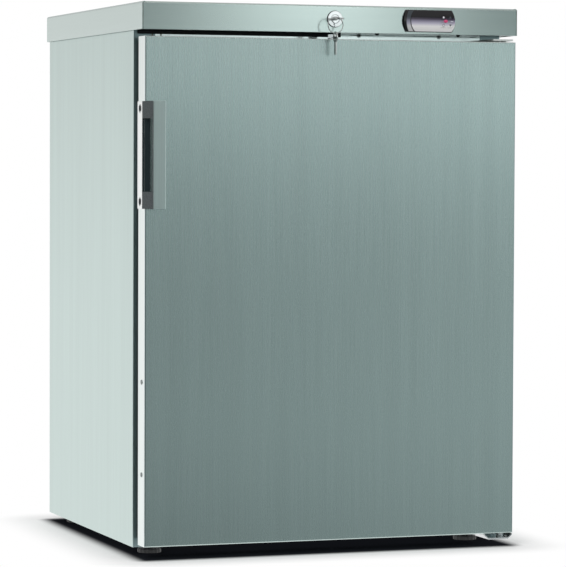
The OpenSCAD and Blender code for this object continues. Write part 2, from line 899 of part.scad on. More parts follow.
module display_window() {
    color("midnightblue") translate([control_x, 0, control_z]) difference() {
        window_form();
        for (i = [0 : 3]) key_block(i, key_gap);
    }
}

module key(i) {
    color("black") translate([control_x, 0, control_z]) intersection() {
        window_form();
        key_block(i, 0);
    }
}

module button_set() { key(0); }
module button_up() { key(1); }
module button_power() { key(2); }
module button_down() { key(3); }

// ---------- lock ----------

// Lock barrel with its round flange in front of the skirt and its nut behind it
module lock_housing() {
    color("silver") difference() {
        union() {
            rod_y([lock_x, fascia_y - flange_t, lock_z], lock_flange_r, flange_t);
            rod_y([lock_x, fascia_y, lock_z], lock_barrel_r, cam_y - clear - fascia_y);
            translate([lock_x, fascia_y + cap_t, lock_z]) rotate([-90, 30, 0])
                cylinder(r = lock_barrel_r + 3, h = nut_t, $fn = 6);
        }
        rod_y([lock_x, fascia_y - flange_t - eps, lock_z], plug_r + fit,
              cam_y - fascia_y + flange_t + 2 * eps);
    }
}

// The turning plug, with a flat keyway and a square end for the cam
module lock_plug() {
    color("gray") difference() {
        union() {
            rod_y([lock_x, fascia_y - flange_t + 0.4, lock_z], plug_r,
                  cam_y - fascia_y + flange_t - 0.4);
            rod_y([lock_x, cam_y, lock_z], cam_screw_r, cam_t + 2);
        }
        block(lock_x - key_blade_w / 2 - 0.2, lock_x + key_blade_w / 2 + 0.2,
              fascia_y - flange_t - eps, fascia_y + key_depth + 0.5,
              lock_z - key_t / 2 - 0.1, lock_z + key_t / 2 + 0.1);
    }
}

module lock_cam() {
    color("silver") difference() {
        along_y(cam_y, cam_y + cam_t) translate([lock_x, lock_z]) {
            circle(plug_r);
            translate([0, -cam_w / 2]) square([cam_l - cam_w / 2, cam_w]);
            translate([cam_l - cam_w / 2, 0]) circle(cam_w / 2);
        }
        rod_y([lock_x, cam_y - eps, lock_z], cam_screw_r + fit, cam_t + 2 * eps);
    }
}

// Flat key, drawn in its own plane: a round bow with a hole at its end, and a blade
module key_outline(blade_l) {
    difference() {
        union() {
            circle(key_bow_r);
            translate([-key_blade_w / 2, 0]) square([key_blade_w, key_bow_r + blade_l]);
        }
        translate([-key_slot_half + key_slot_r, -key_slot_y]) circle(key_slot_r);
        translate([key_slot_half - key_slot_r, -key_slot_y]) circle(key_slot_r);
        translate([-key_slot_half + key_slot_r, -key_slot_y - key_slot_r])
            square([2 * (key_slot_half - key_slot_r), 2 * key_slot_r]);
    }
}

// The key in the lock lies flat, with its bow in front
module key_in_lock() {
    color("silver") translate([lock_x, bow_y, lock_z - key_t / 2])
        linear_extrude(key_t) key_outline(fascia_y + key_depth - bow_y - key_bow_r);
}

// Split ring over the rim of the key's bow
module key_ring() {
    color("silver") translate([ring_x, ring_y, ring_z]) rotate([90, 0, 0])
        rotate_extrude() translate([ring_r, 0]) circle(ring_wire_r);
}

// The second key hangs edge-on from the ring
module spare_key() {
    color("silver") translate([ring_x, ring_y, spare_z]) rotate([0, 90, 0])
        translate([0, 0, -key_t / 2]) linear_extrude(key_t) rotate(-90)
            key_outline(key_spare_l);
}

// ---------- hinges ----------

// Upper hinge bracket: a flange on the front return, a plate over the door and its pin
module upper_hinge_bracket() {
    color("silver") {
        difference() {
            block(upper_x0, upper_x1, cab_y - bracket_t, cab_y,
                  door_top - hinge_flange, upper_bracket_z + bracket_t);
            for (x = bracket_screw_x)
                rod_y([x, cab_y - bracket_t - eps, bracket_screw_z],
                      bracket_screw_r + 0.1, bracket_t + 2 * eps);
        }
        block(upper_x0, upper_x1, door_y + bracket_setback, cab_y,
              upper_bracket_z, upper_bracket_z + bracket_t);
        rod_z([hinge_x, hinge_y, door_top - pin_reach], pin_r,
              upper_bracket_z + eps - door_top + pin_reach);
    }
}

// Section of the lower bracket in X and Z: a flat with both edges raised
module joggle() {
    a = joggle_rise;
    translate([lower_x0 + a, base_z - bracket_t])
        square([lower_x1 - lower_x0 - 2 * a, bracket_t]);
    for (m = [0, 1]) translate([m * (lower_x0 + lower_x1), 0]) mirror([m, 0])
        polygon([[lower_x0 + a, base_z - bracket_t], [lower_x0 + a, base_z],
                 [lower_x0, base_z + a - 1], [lower_x0, base_z + a - 1 - bracket_t]]);
}

// Lower hinge bracket: screwed under the base, joggled where it carries the door
module lower_hinge_bracket() {
    color("silver") {
        along_y(door_y + lower_setback, cab_y - 2) joggle();
        block(lower_x0 + joggle_rise, lower_x1 - joggle_rise, cab_y - 2 - eps,
              cab_y + lower_reach, base_z - bracket_t, base_z);
        rod_z([hinge_x, hinge_y, base_z - eps], pin_r, door_reveal + pin_reach + eps);
        rod_z([hinge_x, hinge_y, base_z - eps], bush_r, door_reveal + eps - clear);
    }
}

// ---------- door ----------

// Form of the door's pan, smaller all round by an inset, with a bend at every fold
module pan_form(inset) {
    r = door_bend_r - inset;
    intersection() {
        translate([0, 0, door_bot + inset]) linear_extrude(door_top - door_bot - 2 * inset)
            round_rect(-half_w + inset, half_w - inset, door_y + inset, pan_y - inset, r);
        along_x(-half_w, half_w)
            round_rect(door_y + inset, pan_y - inset, door_bot + inset, door_top - inset, r);
    }
}

module door_outline(inset) {
    translate([-half_w + inset, door_bot + inset])
        square([body_w - 2 * inset, door_top - door_bot - 2 * inset]);
}

// Steel pan of the door, with its four returns
module door_skin() {
    color("lightgray") difference() {
        pan_form(0);
        pan_form(door_t);
        along_y(pan_y - 2 * door_t, pan_y + eps) door_outline(pan_return);
        bush_holes();
        both_handle_places() rod_x([-half_w - eps, 0, 0], screw_shank_r + 0.1,
                                   door_t + 2 * eps);
        rod_z([strike_x, strike_screw_y, door_top - 2 * door_t], strike_screw_r + 0.1,
              3 * door_t);
    }
}

// The two bush holes in the door's ends
module bush_holes() {
    for (z = [door_top - bush_h, door_bot - eps])
        rod_z([hinge_x, hinge_y, z], bush_r, bush_h + eps);
}

// The four handle screw places on the door's left edge: used above, plugged below
module both_handle_places() {
    for (z = concat(handle_screw_z, plug_z)) translate([0, screw_y, z]) children();
}

// Rear form of the door: the rim, and the inner panel that enters the cabinet
module inner_form(inset, front) {
    along_y(front, rim_y - inset) door_outline(rim_inset + inset);
    along_y(front, cab_y + plug_d - inset)
        round_rect(-cav_x + plug_gap + inset, cav_x - plug_gap - inset,
                   cav_bot + plug_gap + inset, cav_top - plug_gap - inset,
                   cavity_r - plug_gap / 2);
}

// Thermoformed inside of the door
module door_liner() {
    color("white") difference() {
        inner_form(0, pan_y);
        inner_form(liner_t, pan_y - eps);
    }
}

module door_foam() {
    color("khaki") difference() {
        union() {
            pan_form(door_t);
            along_y(pan_y - door_t - eps, pan_y) door_outline(pan_return);
            inner_form(liner_t, pan_y);
        }
        for (z = [door_top - bush_h, door_bot])
            rod_z([hinge_x, hinge_y, z], bush_r, bush_h);
        both_handle_places() rod_x([-half_w, 0, 0], screw_shank_r + 0.1, screw_l);
        rod_z([strike_x, strike_screw_y, door_top - strike_screw_l], strike_screw_r + 0.1,
              strike_screw_l);
    }
}

// Magnetic gasket: a foot on the rim, narrow bellows and the magnet head
module door_gasket() {
    color("dimgray") for (part = gasket_parts)
        along_y(rim_y + part[0] * gasket_d, rim_y + part[1] * gasket_d) difference() {
            door_outline(gasket_inset + part[2]);
            door_outline(gasket_inset + gasket_w - part[2]);
        }
}

// Bushes for the hinge pins, one in each end of the door
module hinge_bushes() {
    color("black") difference() {
        for (z = [door_top - bush_h, door_bot]) rod_z([hinge_x, hinge_y, z], bush_r, bush_h);
        rod_z([hinge_x, hinge_y, door_top - pin_reach - 1], pin_r + fit, pin_reach + 2);
        rod_z([hinge_x, hinge_y, door_bot - 1], pin_r + fit, pin_reach + 2);
    }
}

// Strike on the door's top edge: a foot, an upright that the cam turns down behind, a screw
module lock_striker() {
    color("silver") {
        block(strike_x - strike_w / 2, strike_x + strike_w / 2, strike_y - strike_foot,
              strike_y + strike_t, door_top, door_top + strike_t);
        block(strike_x - strike_w / 2, strike_x + strike_w / 2, strike_y,
              strike_y + strike_t, door_top, door_top + strike_h);
        rod_z([strike_x, strike_screw_y, door_top - strike_screw_l], strike_screw_r,
              strike_screw_l + eps);
        rod_z([strike_x, strike_screw_y, door_top + strike_t - 0.1], 2 * strike_screw_r, 1.2);
    }
}

// ---------- handle ----------

// Side plate on the door's left edge, with two round recesses for its screws
module handle_side_plate() {
    color("whitesmoke") difference() {
        block(-half_w - plate_t, -half_w, plate_y, plate_y + plate_w,
              handle_top - handle_h, handle_top);
        for (z = handle_screw_z) {
            rod_x([-half_w - plate_t - eps, screw_y, z], screw_recess_r, recess_d + eps);
            rod_x([-half_w - plate_t - eps, screw_y, z], screw_shank_r + 0.1,
                  plate_t + 2 * eps);
        }
    }
}

// Two legs that lean out from the side plate to the grip, with the finger gap between them
module handle_legs() {
    x0 = -half_w - plate_t;
    x1 = grip_x0;
    grip_back = door_y - handle_out + grip_t;
    color("dimgray") for (z = [handle_top - leg_h, handle_top - handle_h])
        translate([0, 0, z]) linear_extrude(leg_h)
            polygon([[x0, plate_y], [-half_w, plate_y], [-half_w, door_y - clear],
                     [x1 + plate_t, grip_back], [x1, grip_back]]);
    color("dimgray") block(-half_w - 1, strip_x, door_y - clear - strip_t, door_y - clear,
                           handle_top - handle_h, handle_top);
}

// Grip: a channel that stands in front of the door
module handle_grip() {
    y0 = door_y - handle_out;
    color("silver") translate([0, 0, handle_top - handle_h]) linear_extrude(handle_h) {
        translate([grip_x0, y0 + grip_t / 2]) square([grip_w - grip_t / 2, grip_t / 2]);
        translate([grip_x0 + grip_t / 2, y0]) square([grip_w - grip_t, grip_t]);
        for (x = [grip_x0 + grip_t / 2, grip_x0 + grip_w - grip_t / 2])
            translate([x, y0 + grip_t / 2]) circle(grip_t / 2);
        translate([grip_x0 + grip_w - grip_t, y0 + grip_t / 2]) square([grip_t, grip_lip]);
    }
}

module handle_screws() {
    color("dimgray") for (z = handle_screw_z)
        translate([-half_w - plate_t + recess_d, screw_y, z]) rotate([0, -90, 0])
            screw(screw_recess_r - 1.5, recess_d - 0.2, screw_shank_r, screw_l - 2);
}

// Plugs in the unused screw holes, for a door hung on the other side
module handle_hole_plugs() {
    color("gray") for (z = plug_z) {
        rod_x([-half_w - plug_head_t, screw_y, z], plug_head_r, plug_head_t);
        rod_x([-half_w - plug_head_t / 2, screw_y, z], screw_shank_r, screw_l / 2);
    }
}

// ---------- cooling unit ----------

// Hermetic compressor: two drawn shells welded at a flange, on a pressed base plate
module compressor() {
    color("black") difference() {
        union() {
            translate([comp_x, comp_y, comp_z]) rotate_extrude() {
                translate([0, 0]) square([comp_r - comp_dome_r, comp_h]);
                translate([0, comp_dome_r]) square([comp_r, comp_h - 2 * comp_dome_r]);
                for (z = [comp_dome_r, comp_h - comp_dome_r])
                    translate([comp_r - comp_dome_r, z]) circle(comp_dome_r);
                translate([0, comp_h * 0.55]) square([comp_r + comp_flange, comp_flange]);
            }
            translate([comp_x, comp_y, comp_z - comp_plate_t])
                linear_extrude(comp_plate_t + 2)
                    round_rect(-comp_foot_x - 14, comp_foot_x + 14,
                               -comp_foot_y - 14, comp_foot_y + 14, 10);
        }
        for (x = [-1, 1], y = [-1, 1])
            rod_z([comp_x + x * comp_foot_x, comp_y + y * comp_foot_y, comp_z - 2 * comp_plate_t],
                  stud_r + clear, 4 * comp_plate_t);
    }
}

// Rubber mounts between the base and the compressor's plate, each on its stud
module compressor_mounts() {
    color("dimgray") for (x = [-1, 1], y = [-1, 1])
        translate([comp_x + x * comp_foot_x, comp_y + y * comp_foot_y, 0]) {
            rod_z([0, 0, base_z + base_t], mount_r, comp_z - comp_plate_t - base_z - base_t);
            rod_z([0, 0, base_z], stud_r, comp_z + 6 - base_z);
            rod_z([0, 0, comp_z + 2], stud_r + 3, 3);
        }
}

// Relay and terminal cover on the compressor's side
module terminal_box() {
    color("dimgray") difference() {
        block(comp_x + comp_r - 8, comp_x + comp_r + 30, comp_y - 28, comp_y + 28,
              comp_z + 30, comp_z + 78);
        rod_z([comp_x, comp_y, comp_z], comp_r + fit, comp_h);
    }
}

// Serpentine condenser tube with upright wires on both faces
module condenser() {
    run_x = cond_half - cond_bend;
    color("black") {
        for (k = [0 : cond_runs - 1])
            rod_x([-run_x, cond_y, cond_z(k)], cond_tube_r, 2 * run_x);
        for (k = [0 : cond_runs - 2]) let (side = k % 2 == 0 ? 1 : -1)
            translate([side * run_x, cond_y, (cond_z(k) + cond_z(k + 1)) / 2])
                rotate([90, 0, 0]) rotate([0, 0, side > 0 ? -90 : 90])
                    rotate_extrude(angle = 180) translate([cond_bend, 0]) circle(cond_tube_r);
        for (side = [-1, 1], k = [0 : cond_wires - 1])
            rod_z([(k - (cond_wires - 1) / 2) * cond_wire_pitch,
                   cond_y + side * (cond_tube_r + cond_wire_r + fit),
                   cond_z(0) - cond_over], cond_wire_r,
                  cond_z(cond_runs - 1) - cond_z(0) + 2 * cond_over);
    }
}

// Clips that hold the tube off the back panel
module condenser_clips() {
    color("dimgray") both_sides() for (k = [0, cond_runs - 1]) difference() {
        block(clip_x - clip_w / 2, clip_x + clip_w / 2, back_y - shell_t,
              cond_y + cond_tube_r + 3, cond_z(k) - clip_h / 2, cond_z(k) + clip_h / 2);
        rod_x([clip_x - clip_w, cond_y, cond_z(k)], cond_tube_r + fit, 2 * clip_w);
    }
}

// Spacers that keep the wall behind the condenser at its distance
module rear_spacers() {
    color("black") both_sides() {
        rod_y([spacer_x, back_y - shell_t, spacer_z], spacer_r, rear_gap + shell_t);
        rod_y([spacer_x, back_y - shell_t, spacer_z], spacer_r + 4, 3);
    }
}

// Points of a round corner of radius r at b, between a and c
function corner(a, b, c, r) =
    let (u = (a - b) / norm(a - b), w = (c - b) / norm(c - b), ang = acos(u * w),
         mid = b + (u + w) / norm(u + w) * r / sin(ang / 2),
         s = b + u * r / tan(ang / 2) - mid, e = b + w * r / tan(ang / 2) - mid,
         turn = 180 - ang)
    [for (i = [0 : bend_steps]) let (t = i / bend_steps)
        mid + (s * sin((1 - t) * turn) + e * sin(t * turn)) / sin(turn)];

// A route with its inner corners rounded
function rounded(p, r) = concat([p[0]],
    [for (i = [1 : len(p) - 2]) each corner(p[i - 1], p[i], p[i + 1], r)], [p[len(p) - 1]]);

// Direction of a route at one of its points
function heading(p, i) =
    let (d = p[min(i + 1, len(p) - 1)] - p[max(i - 1, 0)]) d / norm(d);

// A round tube swept along a route
module sweep(route, r) {
    p = rounded(route, pipe_bend);
    n = len(p);
    lean = [0.31, 0.53, 0.79];
    points = [for (i = [0 : n - 1])
        let (t = heading(p, i), c = cross(t, lean), u = c / norm(c), v = cross(t, u))
        for (k = [0 : pipe_sides - 1]) let (a = k * 360 / pipe_sides)
            p[i] + r * (u * cos(a) + v * sin(a))];
    faces = concat(
        [[for (k = [pipe_sides - 1 : -1 : 0]) k]],
        [for (i = [0 : n - 2], k = [0 : pipe_sides - 1]) let (j = (k + 1) % pipe_sides)
            [i * pipe_sides + k, i * pipe_sides + j, (i + 1) * pipe_sides + j,
             (i + 1) * pipe_sides + k]],
        [[for (k = [0 : pipe_sides - 1]) (n - 1) * pipe_sides + k]]);
    polyhedron(points, [for (f = faces) [for (i = [len(f) - 1 : -1 : 0]) f[i]]]);
}

// Copper pipes: discharge to the condenser, liquid line to the drier, suction from the evaporator
module refrigerant_pipes() {
    color("peru") {
        sweep([[comp_x - comp_r, comp_y, comp_z + discharge_h],
               [riser_x, comp_y, comp_z + discharge_h], [riser_x, cond_y, comp_z + discharge_h],
               [riser_x, cond_y, cond_z(0)], [-cond_half + cond_bend, cond_y, cond_z(0)]],
              pipe_r);
        sweep([[suction_x, pipe_up_y, evap_z0], [suction_x, pipe_up_y, comp_z + suction_h],
               [suction_x, comp_y, comp_z + suction_h],
               [comp_x + comp_r, comp_y, comp_z + suction_h]], pipe_r);
        sweep([[cond_half - cond_bend, cond_y, cond_z(cond_runs - 1)],
               [liquid_x, cond_y, cond_z(cond_runs - 1)], [liquid_x, cond_y, drier_top + 24],
               [liquid_x, drier_y, drier_top + 24], [liquid_x, drier_y, drier_top]],
              pipe_r - 0.5);
    }
}

// Filter drier: a copper capsule with necked ends
module filter_drier() {
    color("peru") translate([liquid_x, drier_y, drier_z]) {
        translate([0, 0, drier_neck]) cylinder(r = drier_r, h = drier_l - 2 * drier_neck);
        cylinder(r1 = pipe_r + 1, r2 = drier_r, h = drier_neck);
        translate([0, 0, drier_l - drier_neck])
            cylinder(r1 = drier_r, r2 = pipe_r + 1, h = drier_neck);
    }
}

// Tray over the compressor that evaporates the condensate, and the drain spout above it
module condensate_drain() {
    tray_z = comp_z + comp_h + clear;
    color("dimgray") {
        difference() {
            translate([comp_x, comp_y, tray_z]) linear_extrude(drain_tray_h)
                round_rect(-drain_tray_x, drain_tray_x, -drain_tray_y, drain_tray_y, 12);
            translate([comp_x, comp_y, tray_z + 2]) linear_extrude(drain_tray_h)
                round_rect(-drain_tray_x + 2, drain_tray_x - 2, -drain_tray_y + 2,
                           drain_tray_y - 2, 10);
        }
        difference() {
            rod_z([drain_x, drain_y, bay_top - 6], drain_r, step_z - bay_top + 6 - liner_t);
            rod_z([drain_x, drain_y, bay_top - 6 - eps], drain_r - 1.5, bay_wall + 6 + 2 * eps);
        }
    }
}

// Appliance inlet in the machine bay, on a bracket that stands on the base
module power_inlet() {
    y = back_y - inlet_inset;
    z = base_z + inlet_plate_h - inlet_rise;
    x = inlet_x - inlet_plate_t;
    color("black") {
        block(x, inlet_x, y - inlet_plate_d, y, base_z + base_t, base_z + inlet_plate_h);
        block(x - inlet_body, x, y - inlet_body, y, z - inlet_body_h, z);
        rod_y([x - inlet_body / 2, y, z - inlet_body_h / 2], inlet_pin_r, inlet_pin_l);
    }
}

// ---------- feet ----------

// Threaded sockets, each with its nut under the base and its barrel inside
module foot_sockets() {
    color("silver") difference() {
        foot_places() {
            translate([0, 0, base_z - socket_nut])
                cylinder(r = socket_r + 4, h = socket_nut, $fn = 6);
            rod_z([0, 0, base_z - eps], socket_r, socket_h + eps);
        }
        foot_places() rod_z([0, 0, base_z - socket_nut - eps], stem_r + fit,
                            socket_h + socket_nut + 2 * eps);
    }
}

// Levelling foot: a round pad with a soft edge and its stem
module foot(x, y) {
    color("black") translate([x, y, 0]) {
        cylinder(r = foot_r, h = pad_h - 2);
        translate([0, 0, pad_h - 2]) cylinder(r1 = foot_r, r2 = foot_r - 2, h = 2);
        cylinder(r = stem_r, h = stem_l);
    }
}

module foot_front_left() { foot(-foot_x, foot_y[0]); }
module foot_front_right() { foot(foot_x, foot_y[0]); }
module foot_rear_left() { foot(-foot_x, foot_y[1]); }
module foot_rear_right() { foot(foot_x, foot_y[1]); }

side_panel_left();
side_panel_right();
top_panel();
base_pan();
back_panel();
insulation_foam();
inner_liner();
shelf_supports();
wire_shelves();
evaporator_plate();
fan_housing();
fan_guard();
fan_motor();
fan_rotor();
worktop_cap();
worktop_board();
control_tray();
cabinet_screws();
controller_housing();
controller_bezel();
display_window();
button_up();
button_down();
button_set();
button_power();
lock_housing();
lock_plug();
lock_cam();
key_in_lock();
key_ring();
spare_key();
upper_hinge_bracket();
lower_hinge_bracket();
door_skin();
door_foam();
door_liner();
door_gasket();
hinge_bushes();
lock_striker();
handle_side_plate();
handle_legs();
handle_grip();
handle_screws();
handle_hole_plugs();
compressor();
compressor_mounts();
terminal_box();
condenser();
condenser_clips();
refrigerant_pipes();
filter_drier();
condensate_drain();
power_inlet();
rear_spacers();
foot_sockets();
foot_front_left();
foot_front_right();
foot_rear_left();
foot_rear_right();
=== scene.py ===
import json
import math

import bmesh
import bpy
from mathutils import Matrix, Vector

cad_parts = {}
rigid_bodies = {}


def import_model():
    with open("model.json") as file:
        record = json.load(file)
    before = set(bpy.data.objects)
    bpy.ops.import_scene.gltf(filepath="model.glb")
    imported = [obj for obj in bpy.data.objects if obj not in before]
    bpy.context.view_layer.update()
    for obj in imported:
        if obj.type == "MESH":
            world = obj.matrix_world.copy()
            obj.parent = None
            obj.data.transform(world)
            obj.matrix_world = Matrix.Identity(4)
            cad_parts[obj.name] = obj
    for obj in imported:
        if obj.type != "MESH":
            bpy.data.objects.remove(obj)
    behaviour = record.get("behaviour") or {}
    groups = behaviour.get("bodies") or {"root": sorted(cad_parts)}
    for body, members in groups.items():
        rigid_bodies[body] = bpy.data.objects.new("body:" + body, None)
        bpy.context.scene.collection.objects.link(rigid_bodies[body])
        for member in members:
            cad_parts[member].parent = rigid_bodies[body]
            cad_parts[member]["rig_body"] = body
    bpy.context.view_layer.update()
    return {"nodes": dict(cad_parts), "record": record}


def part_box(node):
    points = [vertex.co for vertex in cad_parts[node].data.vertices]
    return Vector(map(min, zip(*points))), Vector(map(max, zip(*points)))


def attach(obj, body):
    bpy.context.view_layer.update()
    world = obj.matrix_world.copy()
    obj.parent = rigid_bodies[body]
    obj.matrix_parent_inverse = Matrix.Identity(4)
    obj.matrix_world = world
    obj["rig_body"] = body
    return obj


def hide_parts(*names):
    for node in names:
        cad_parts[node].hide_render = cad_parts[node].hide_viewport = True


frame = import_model()

# ---- Standpoint ----
# A long lens stands low, in front of the cabinet and to its left, and looks slightly down.
# Its length keeps the upright edges nearly parallel.
lens = bpy.data.cameras.new("Standpoint")
lens.lens = 190.89
lens.clip_end = 60
yaw, pitch, roll = 0.3391849, 0.0401896, 0.0037512
eye = (-1.57651, -4.51319, 0.58936)
forward = Vector((math.sin(yaw) * math.cos(pitch), math.cos(yaw) * math.cos(pitch),
                  -math.sin(pitch)))
level = Vector((math.cos(yaw), -math.sin(yaw), 0))
rise = level.cross(forward)
right = math.cos(roll) * level + math.sin(roll) * rise
up = math.cos(roll) * rise - math.sin(roll) * level
stand = bpy.data.objects.new("Standpoint", lens)
stand.matrix_world = Matrix((
    *((right[k], up[k], -forward[k], eye[k]) for k in range(3)), (0, 0, 0, 1)))
bpy.context.scene.collection.objects.link(stand)
bpy.context.scene.camera = stand

# ---- Studio ----
# A pale floor under a white surround, with three soft lamps. Two glowing panels before the cabinet,
# called flags, are seen only by polished surfaces; their graded glow is a painted reflection that
# gives the steel its darker tones.


def linear(code):
    """Turns an sRGB hex colour into the linear colour that a shader takes."""
    parts = [int(code[i:i + 2], 16) / 255 for i in (0, 2, 4)]
    return tuple(c / 12.92 if c <= 0.04045 else ((c + 0.055) / 1.055) ** 2.4 for c in parts) + (1,)


def add(tree, kind, values=None, **settings):
    """Adds a node. Settings are its own choices. Values are its inputs: a plain value, a socket,
    a node whose first output is meant, or a list of these for an input that takes many."""
    made = tree.nodes.new(kind)
    for key, value in settings.items():
        setattr(made, key, value)
    for key, value in (values or {}).items():
        for one in value if isinstance(value, list) else [value]:
            if isinstance(one, bpy.types.Node):
                one = one.outputs[0]
            if isinstance(one, bpy.types.NodeSocket):
                tree.links.new(one, made.inputs[key])
            else:
                made.inputs[key].default_value = one
    return made


def set_ramp(node, stops):
    """Gives a colour ramp its stops, each a place from 0 to 1 with a grey or a linear colour."""
    ramp = node.color_ramp
    while len(ramp.elements) < len(stops):
        ramp.elements.new(1.0)
    for element, (place, tone) in zip(ramp.elements, stops):
        element.position = place
        element.color = tone if isinstance(tone, tuple) else (tone, tone, tone, 1)


def open_tree(holder):
    """The emptied node tree of a new material or world."""
    holder.use_nodes = True
    holder.node_tree.nodes.clear()
    return holder.node_tree


surround = bpy.data.worlds.new("White_surround")
bpy.context.scene.world = surround
tree = open_tree(surround)
ray = add(tree, "ShaderNodeLightPath")
seen = add(tree, "ShaderNodeMath", {
    0: ray.outputs["Is Camera Ray"], 1: ray.outputs["Is Transmission Ray"]}, operation="MAXIMUM")
aim = add(tree, "ShaderNodeSeparateXYZ", {0: add(tree, "ShaderNodeTexCoord").outputs["Generated"]})
above = add(tree, "ShaderNodeMapRange", {
    "Value": aim.outputs["Z"], "From Min": -0.06, "From Max": 0.16, "To Min": 1.0, "To Max": 0.66},
    interpolation_type="SMOOTHSTEP")
plain = add(tree, "ShaderNodeMix", {"Factor": ray.outputs["Is Glossy Ray"], "A": 0.55, "B": above})
strength = add(tree, "ShaderNodeMix", {"Factor": seen, "A": plain, "B": 1.0})
glow = add(tree, "ShaderNodeBackground", {"Color": (1, 1, 1, 1), "Strength": strength})
add(tree, "ShaderNodeOutputWorld", {"Surface": glow})


def stage_plane(name, corners, material):
    """A flat plane of the studio, given by its corners in metres."""
    mesh = bpy.data.meshes.new(name)
    mesh.from_pydata(corners, [], [list(range(len(corners)))])
    made = bpy.data.objects.new(name, mesh)
    bpy.context.scene.collection.objects.link(made)
    mesh.materials.append(material)
    return made


# The floor is matt near the cabinet, where it takes the shadow, near black under it as a painted
# shadow, and white further out. Lamps bounce off a darker grey than the eye sees. Sizes are in
# metres.
half_footprint, shadow_reach, painted_shadow_edge = (0.29, 0.265, 0), 0.11, 0.03
floor_paint = bpy.data.materials.new("Pale_floor_paint")
tree = open_tree(floor_paint)
ray = add(tree, "ShaderNodeLightPath")
seen = add(tree, "ShaderNodeMath", {
    0: ray.outputs["Is Camera Ray"], 1: ray.outputs["Is Glossy Ray"]}, operation="MAXIMUM")
seen = add(tree, "ShaderNodeMath", {0: seen, 1: ray.outputs["Is Transmission Ray"]},
           operation="MAXIMUM")
spot = add(tree, "ShaderNodeVectorMath", {
    0: add(tree, "ShaderNodeTexCoord").outputs["Object"]}, operation="ABSOLUTE")
spot = add(tree, "ShaderNodeVectorMath", {0: spot, 1: half_footprint}, operation="SUBTRACT")
spot = add(tree, "ShaderNodeVectorMath", {0: spot, 1: (0, 0, 0)}, operation="MAXIMUM")
away = add(tree, "ShaderNodeVectorMath", {0: spot}, operation="LENGTH")
clear = add(tree, "ShaderNodeMapRange", {
    "Value": away.outputs["Value"], "From Min": 0.0, "From Max": shadow_reach},
    interpolation_type="SMOOTHSTEP")
clear = add(tree, "ShaderNodeMath", {0: clear, 1: seen}, operation="MULTIPLY")
clear = add(tree, "ShaderNodeMath", {0: clear, 1: ray.outputs["Is Glossy Ray"]},
            operation="MAXIMUM")
# Painted shadow: the floor's colour is near black inside the footprint and pales within 3 cm of it.
under = add(tree, "ShaderNodeMapRange", {
    "Value": away.outputs["Value"], "From Min": 0.0, "From Max": painted_shadow_edge},
    interpolation_type="SMOOTHSTEP")
pale = add(tree, "ShaderNodeMix", {
    "Factor": under, "A": (0.015, 0.016, 0.02, 1), "B": (0.94, 0.94, 0.94, 1)}, data_type="RGBA")
tone = add(tree, "ShaderNodeMix", {
    "Factor": seen, "A": (0.42, 0.42, 0.42, 1), "B": pale.outputs["Result"]}, data_type="RGBA")
matt = add(tree, "ShaderNodeBsdfDiffuse", {"Color": tone.outputs["Result"]})
white = add(tree, "ShaderNodeEmission", {"Color": (1, 1, 1, 1), "Strength": 1.0})
both = add(tree, "ShaderNodeMixShader", {0: clear, 1: matt, 2: white})
add(tree, "ShaderNodeOutputMaterial", {"Surface": both})
stage_plane("Floor", [(-9, -9, 0), (9, -9, 0), (9, 9, 0), (-9, 9, 0)], floor_paint)

# The front flag is a glowing panel 2.9 m before the door, from 5 m on its left to 4.5 m on its right,
# and its glow is a painted reflection for the steel. Its lower part is what the door shows: dark low
# down, paler towards its head. Its upper part is what the worktop's skirt shows: one bright window
# between two dark edges. The brightest tone is 2.4.
flag_left, flag_right, flag_y, flag_top, brightest = -5.0, 4.5, -3.2, 2.4, 2.4
cool_grey = (0.88, 1, 1.01, 1)


def across_flag(stops, full=1.0):
    """Ramp stops from places in metres along a flag and tones, where full is the ramp's white."""
    return [((x - flag_left) / (flag_right - flag_left), tone / full) for x, tone in stops]


def glowing_flag(name, stops):
    """Starts a glowing flag: its finish, its tree, a place on it, and its glow from end to end."""
    flag_glow = bpy.data.materials.new(name)
    tree = open_tree(flag_glow)
    spot = add(tree, "ShaderNodeSeparateXYZ", {
        0: add(tree, "ShaderNodeTexCoord").outputs["Object"]})
    run = add(tree, "ShaderNodeMapRange", {
        "Value": spot.outputs["X"], "From Min": flag_left, "From Max": flag_right})
    low = add(tree, "ShaderNodeValToRGB", {"Fac": run})
    set_ramp(low, across_flag(stops))
    return flag_glow, tree, spot, run, low


flag_paint, tree, spot, run, low = glowing_flag("Front_flag_painted_reflection", (
    (-5, 1.0), (-4, 0.35), (-3, 0.07), (-1, 0.07), (-0.2, 0.22), (0.5, 0.36), (1.0, 0.38),
    (1.6, 0.41), (2.5, 0.5), (4.5, 1.0)))
rise_z = add(tree, "ShaderNodeMapRange", {
    "Value": spot.outputs["Z"], "From Min": 0.0, "From Max": flag_top})
gain = add(tree, "ShaderNodeValToRGB", {"Fac": rise_z})
set_ramp(gain, [(z / flag_top, tone / brightest) for z, tone in (
    (0, 0.96), (0.28, 0.96), (0.43, 1.02), (0.59, 1.24), (0.71, 1.55), (0.79, 1.85), (0.9, 2.3),
    (2.4, 2.3))])
door_tone = add(tree, "ShaderNodeMath", {0: low, 1: gain}, operation="MULTIPLY")
door_tone = add(tree, "ShaderNodeMath", {0: door_tone, 1: brightest}, operation="MULTIPLY")
window = add(tree, "ShaderNodeValToRGB", {"Fac": run})
set_ramp(window, across_flag((
    (-5, 1.0), (-4, 0.35), (-3, 0.07), (0.5, 0.05), (0.64, 0.08), (0.70, 0.3), (0.77, 0.95),
    (0.83, 1.15), (0.93, 1.5), (1.03, 2.05), (1.09, 2.3), (1.19, 2.1), (1.25, 1.45), (1.36, 0.8),
    (1.455, 0.25), (1.5, 0.0), (1.9, 0.0), (2.6, 0.0), (4.5, 0.6)), brightest))
skirt_tone = add(tree, "ShaderNodeMath", {0: window, 1: brightest}, operation="MULTIPLY")
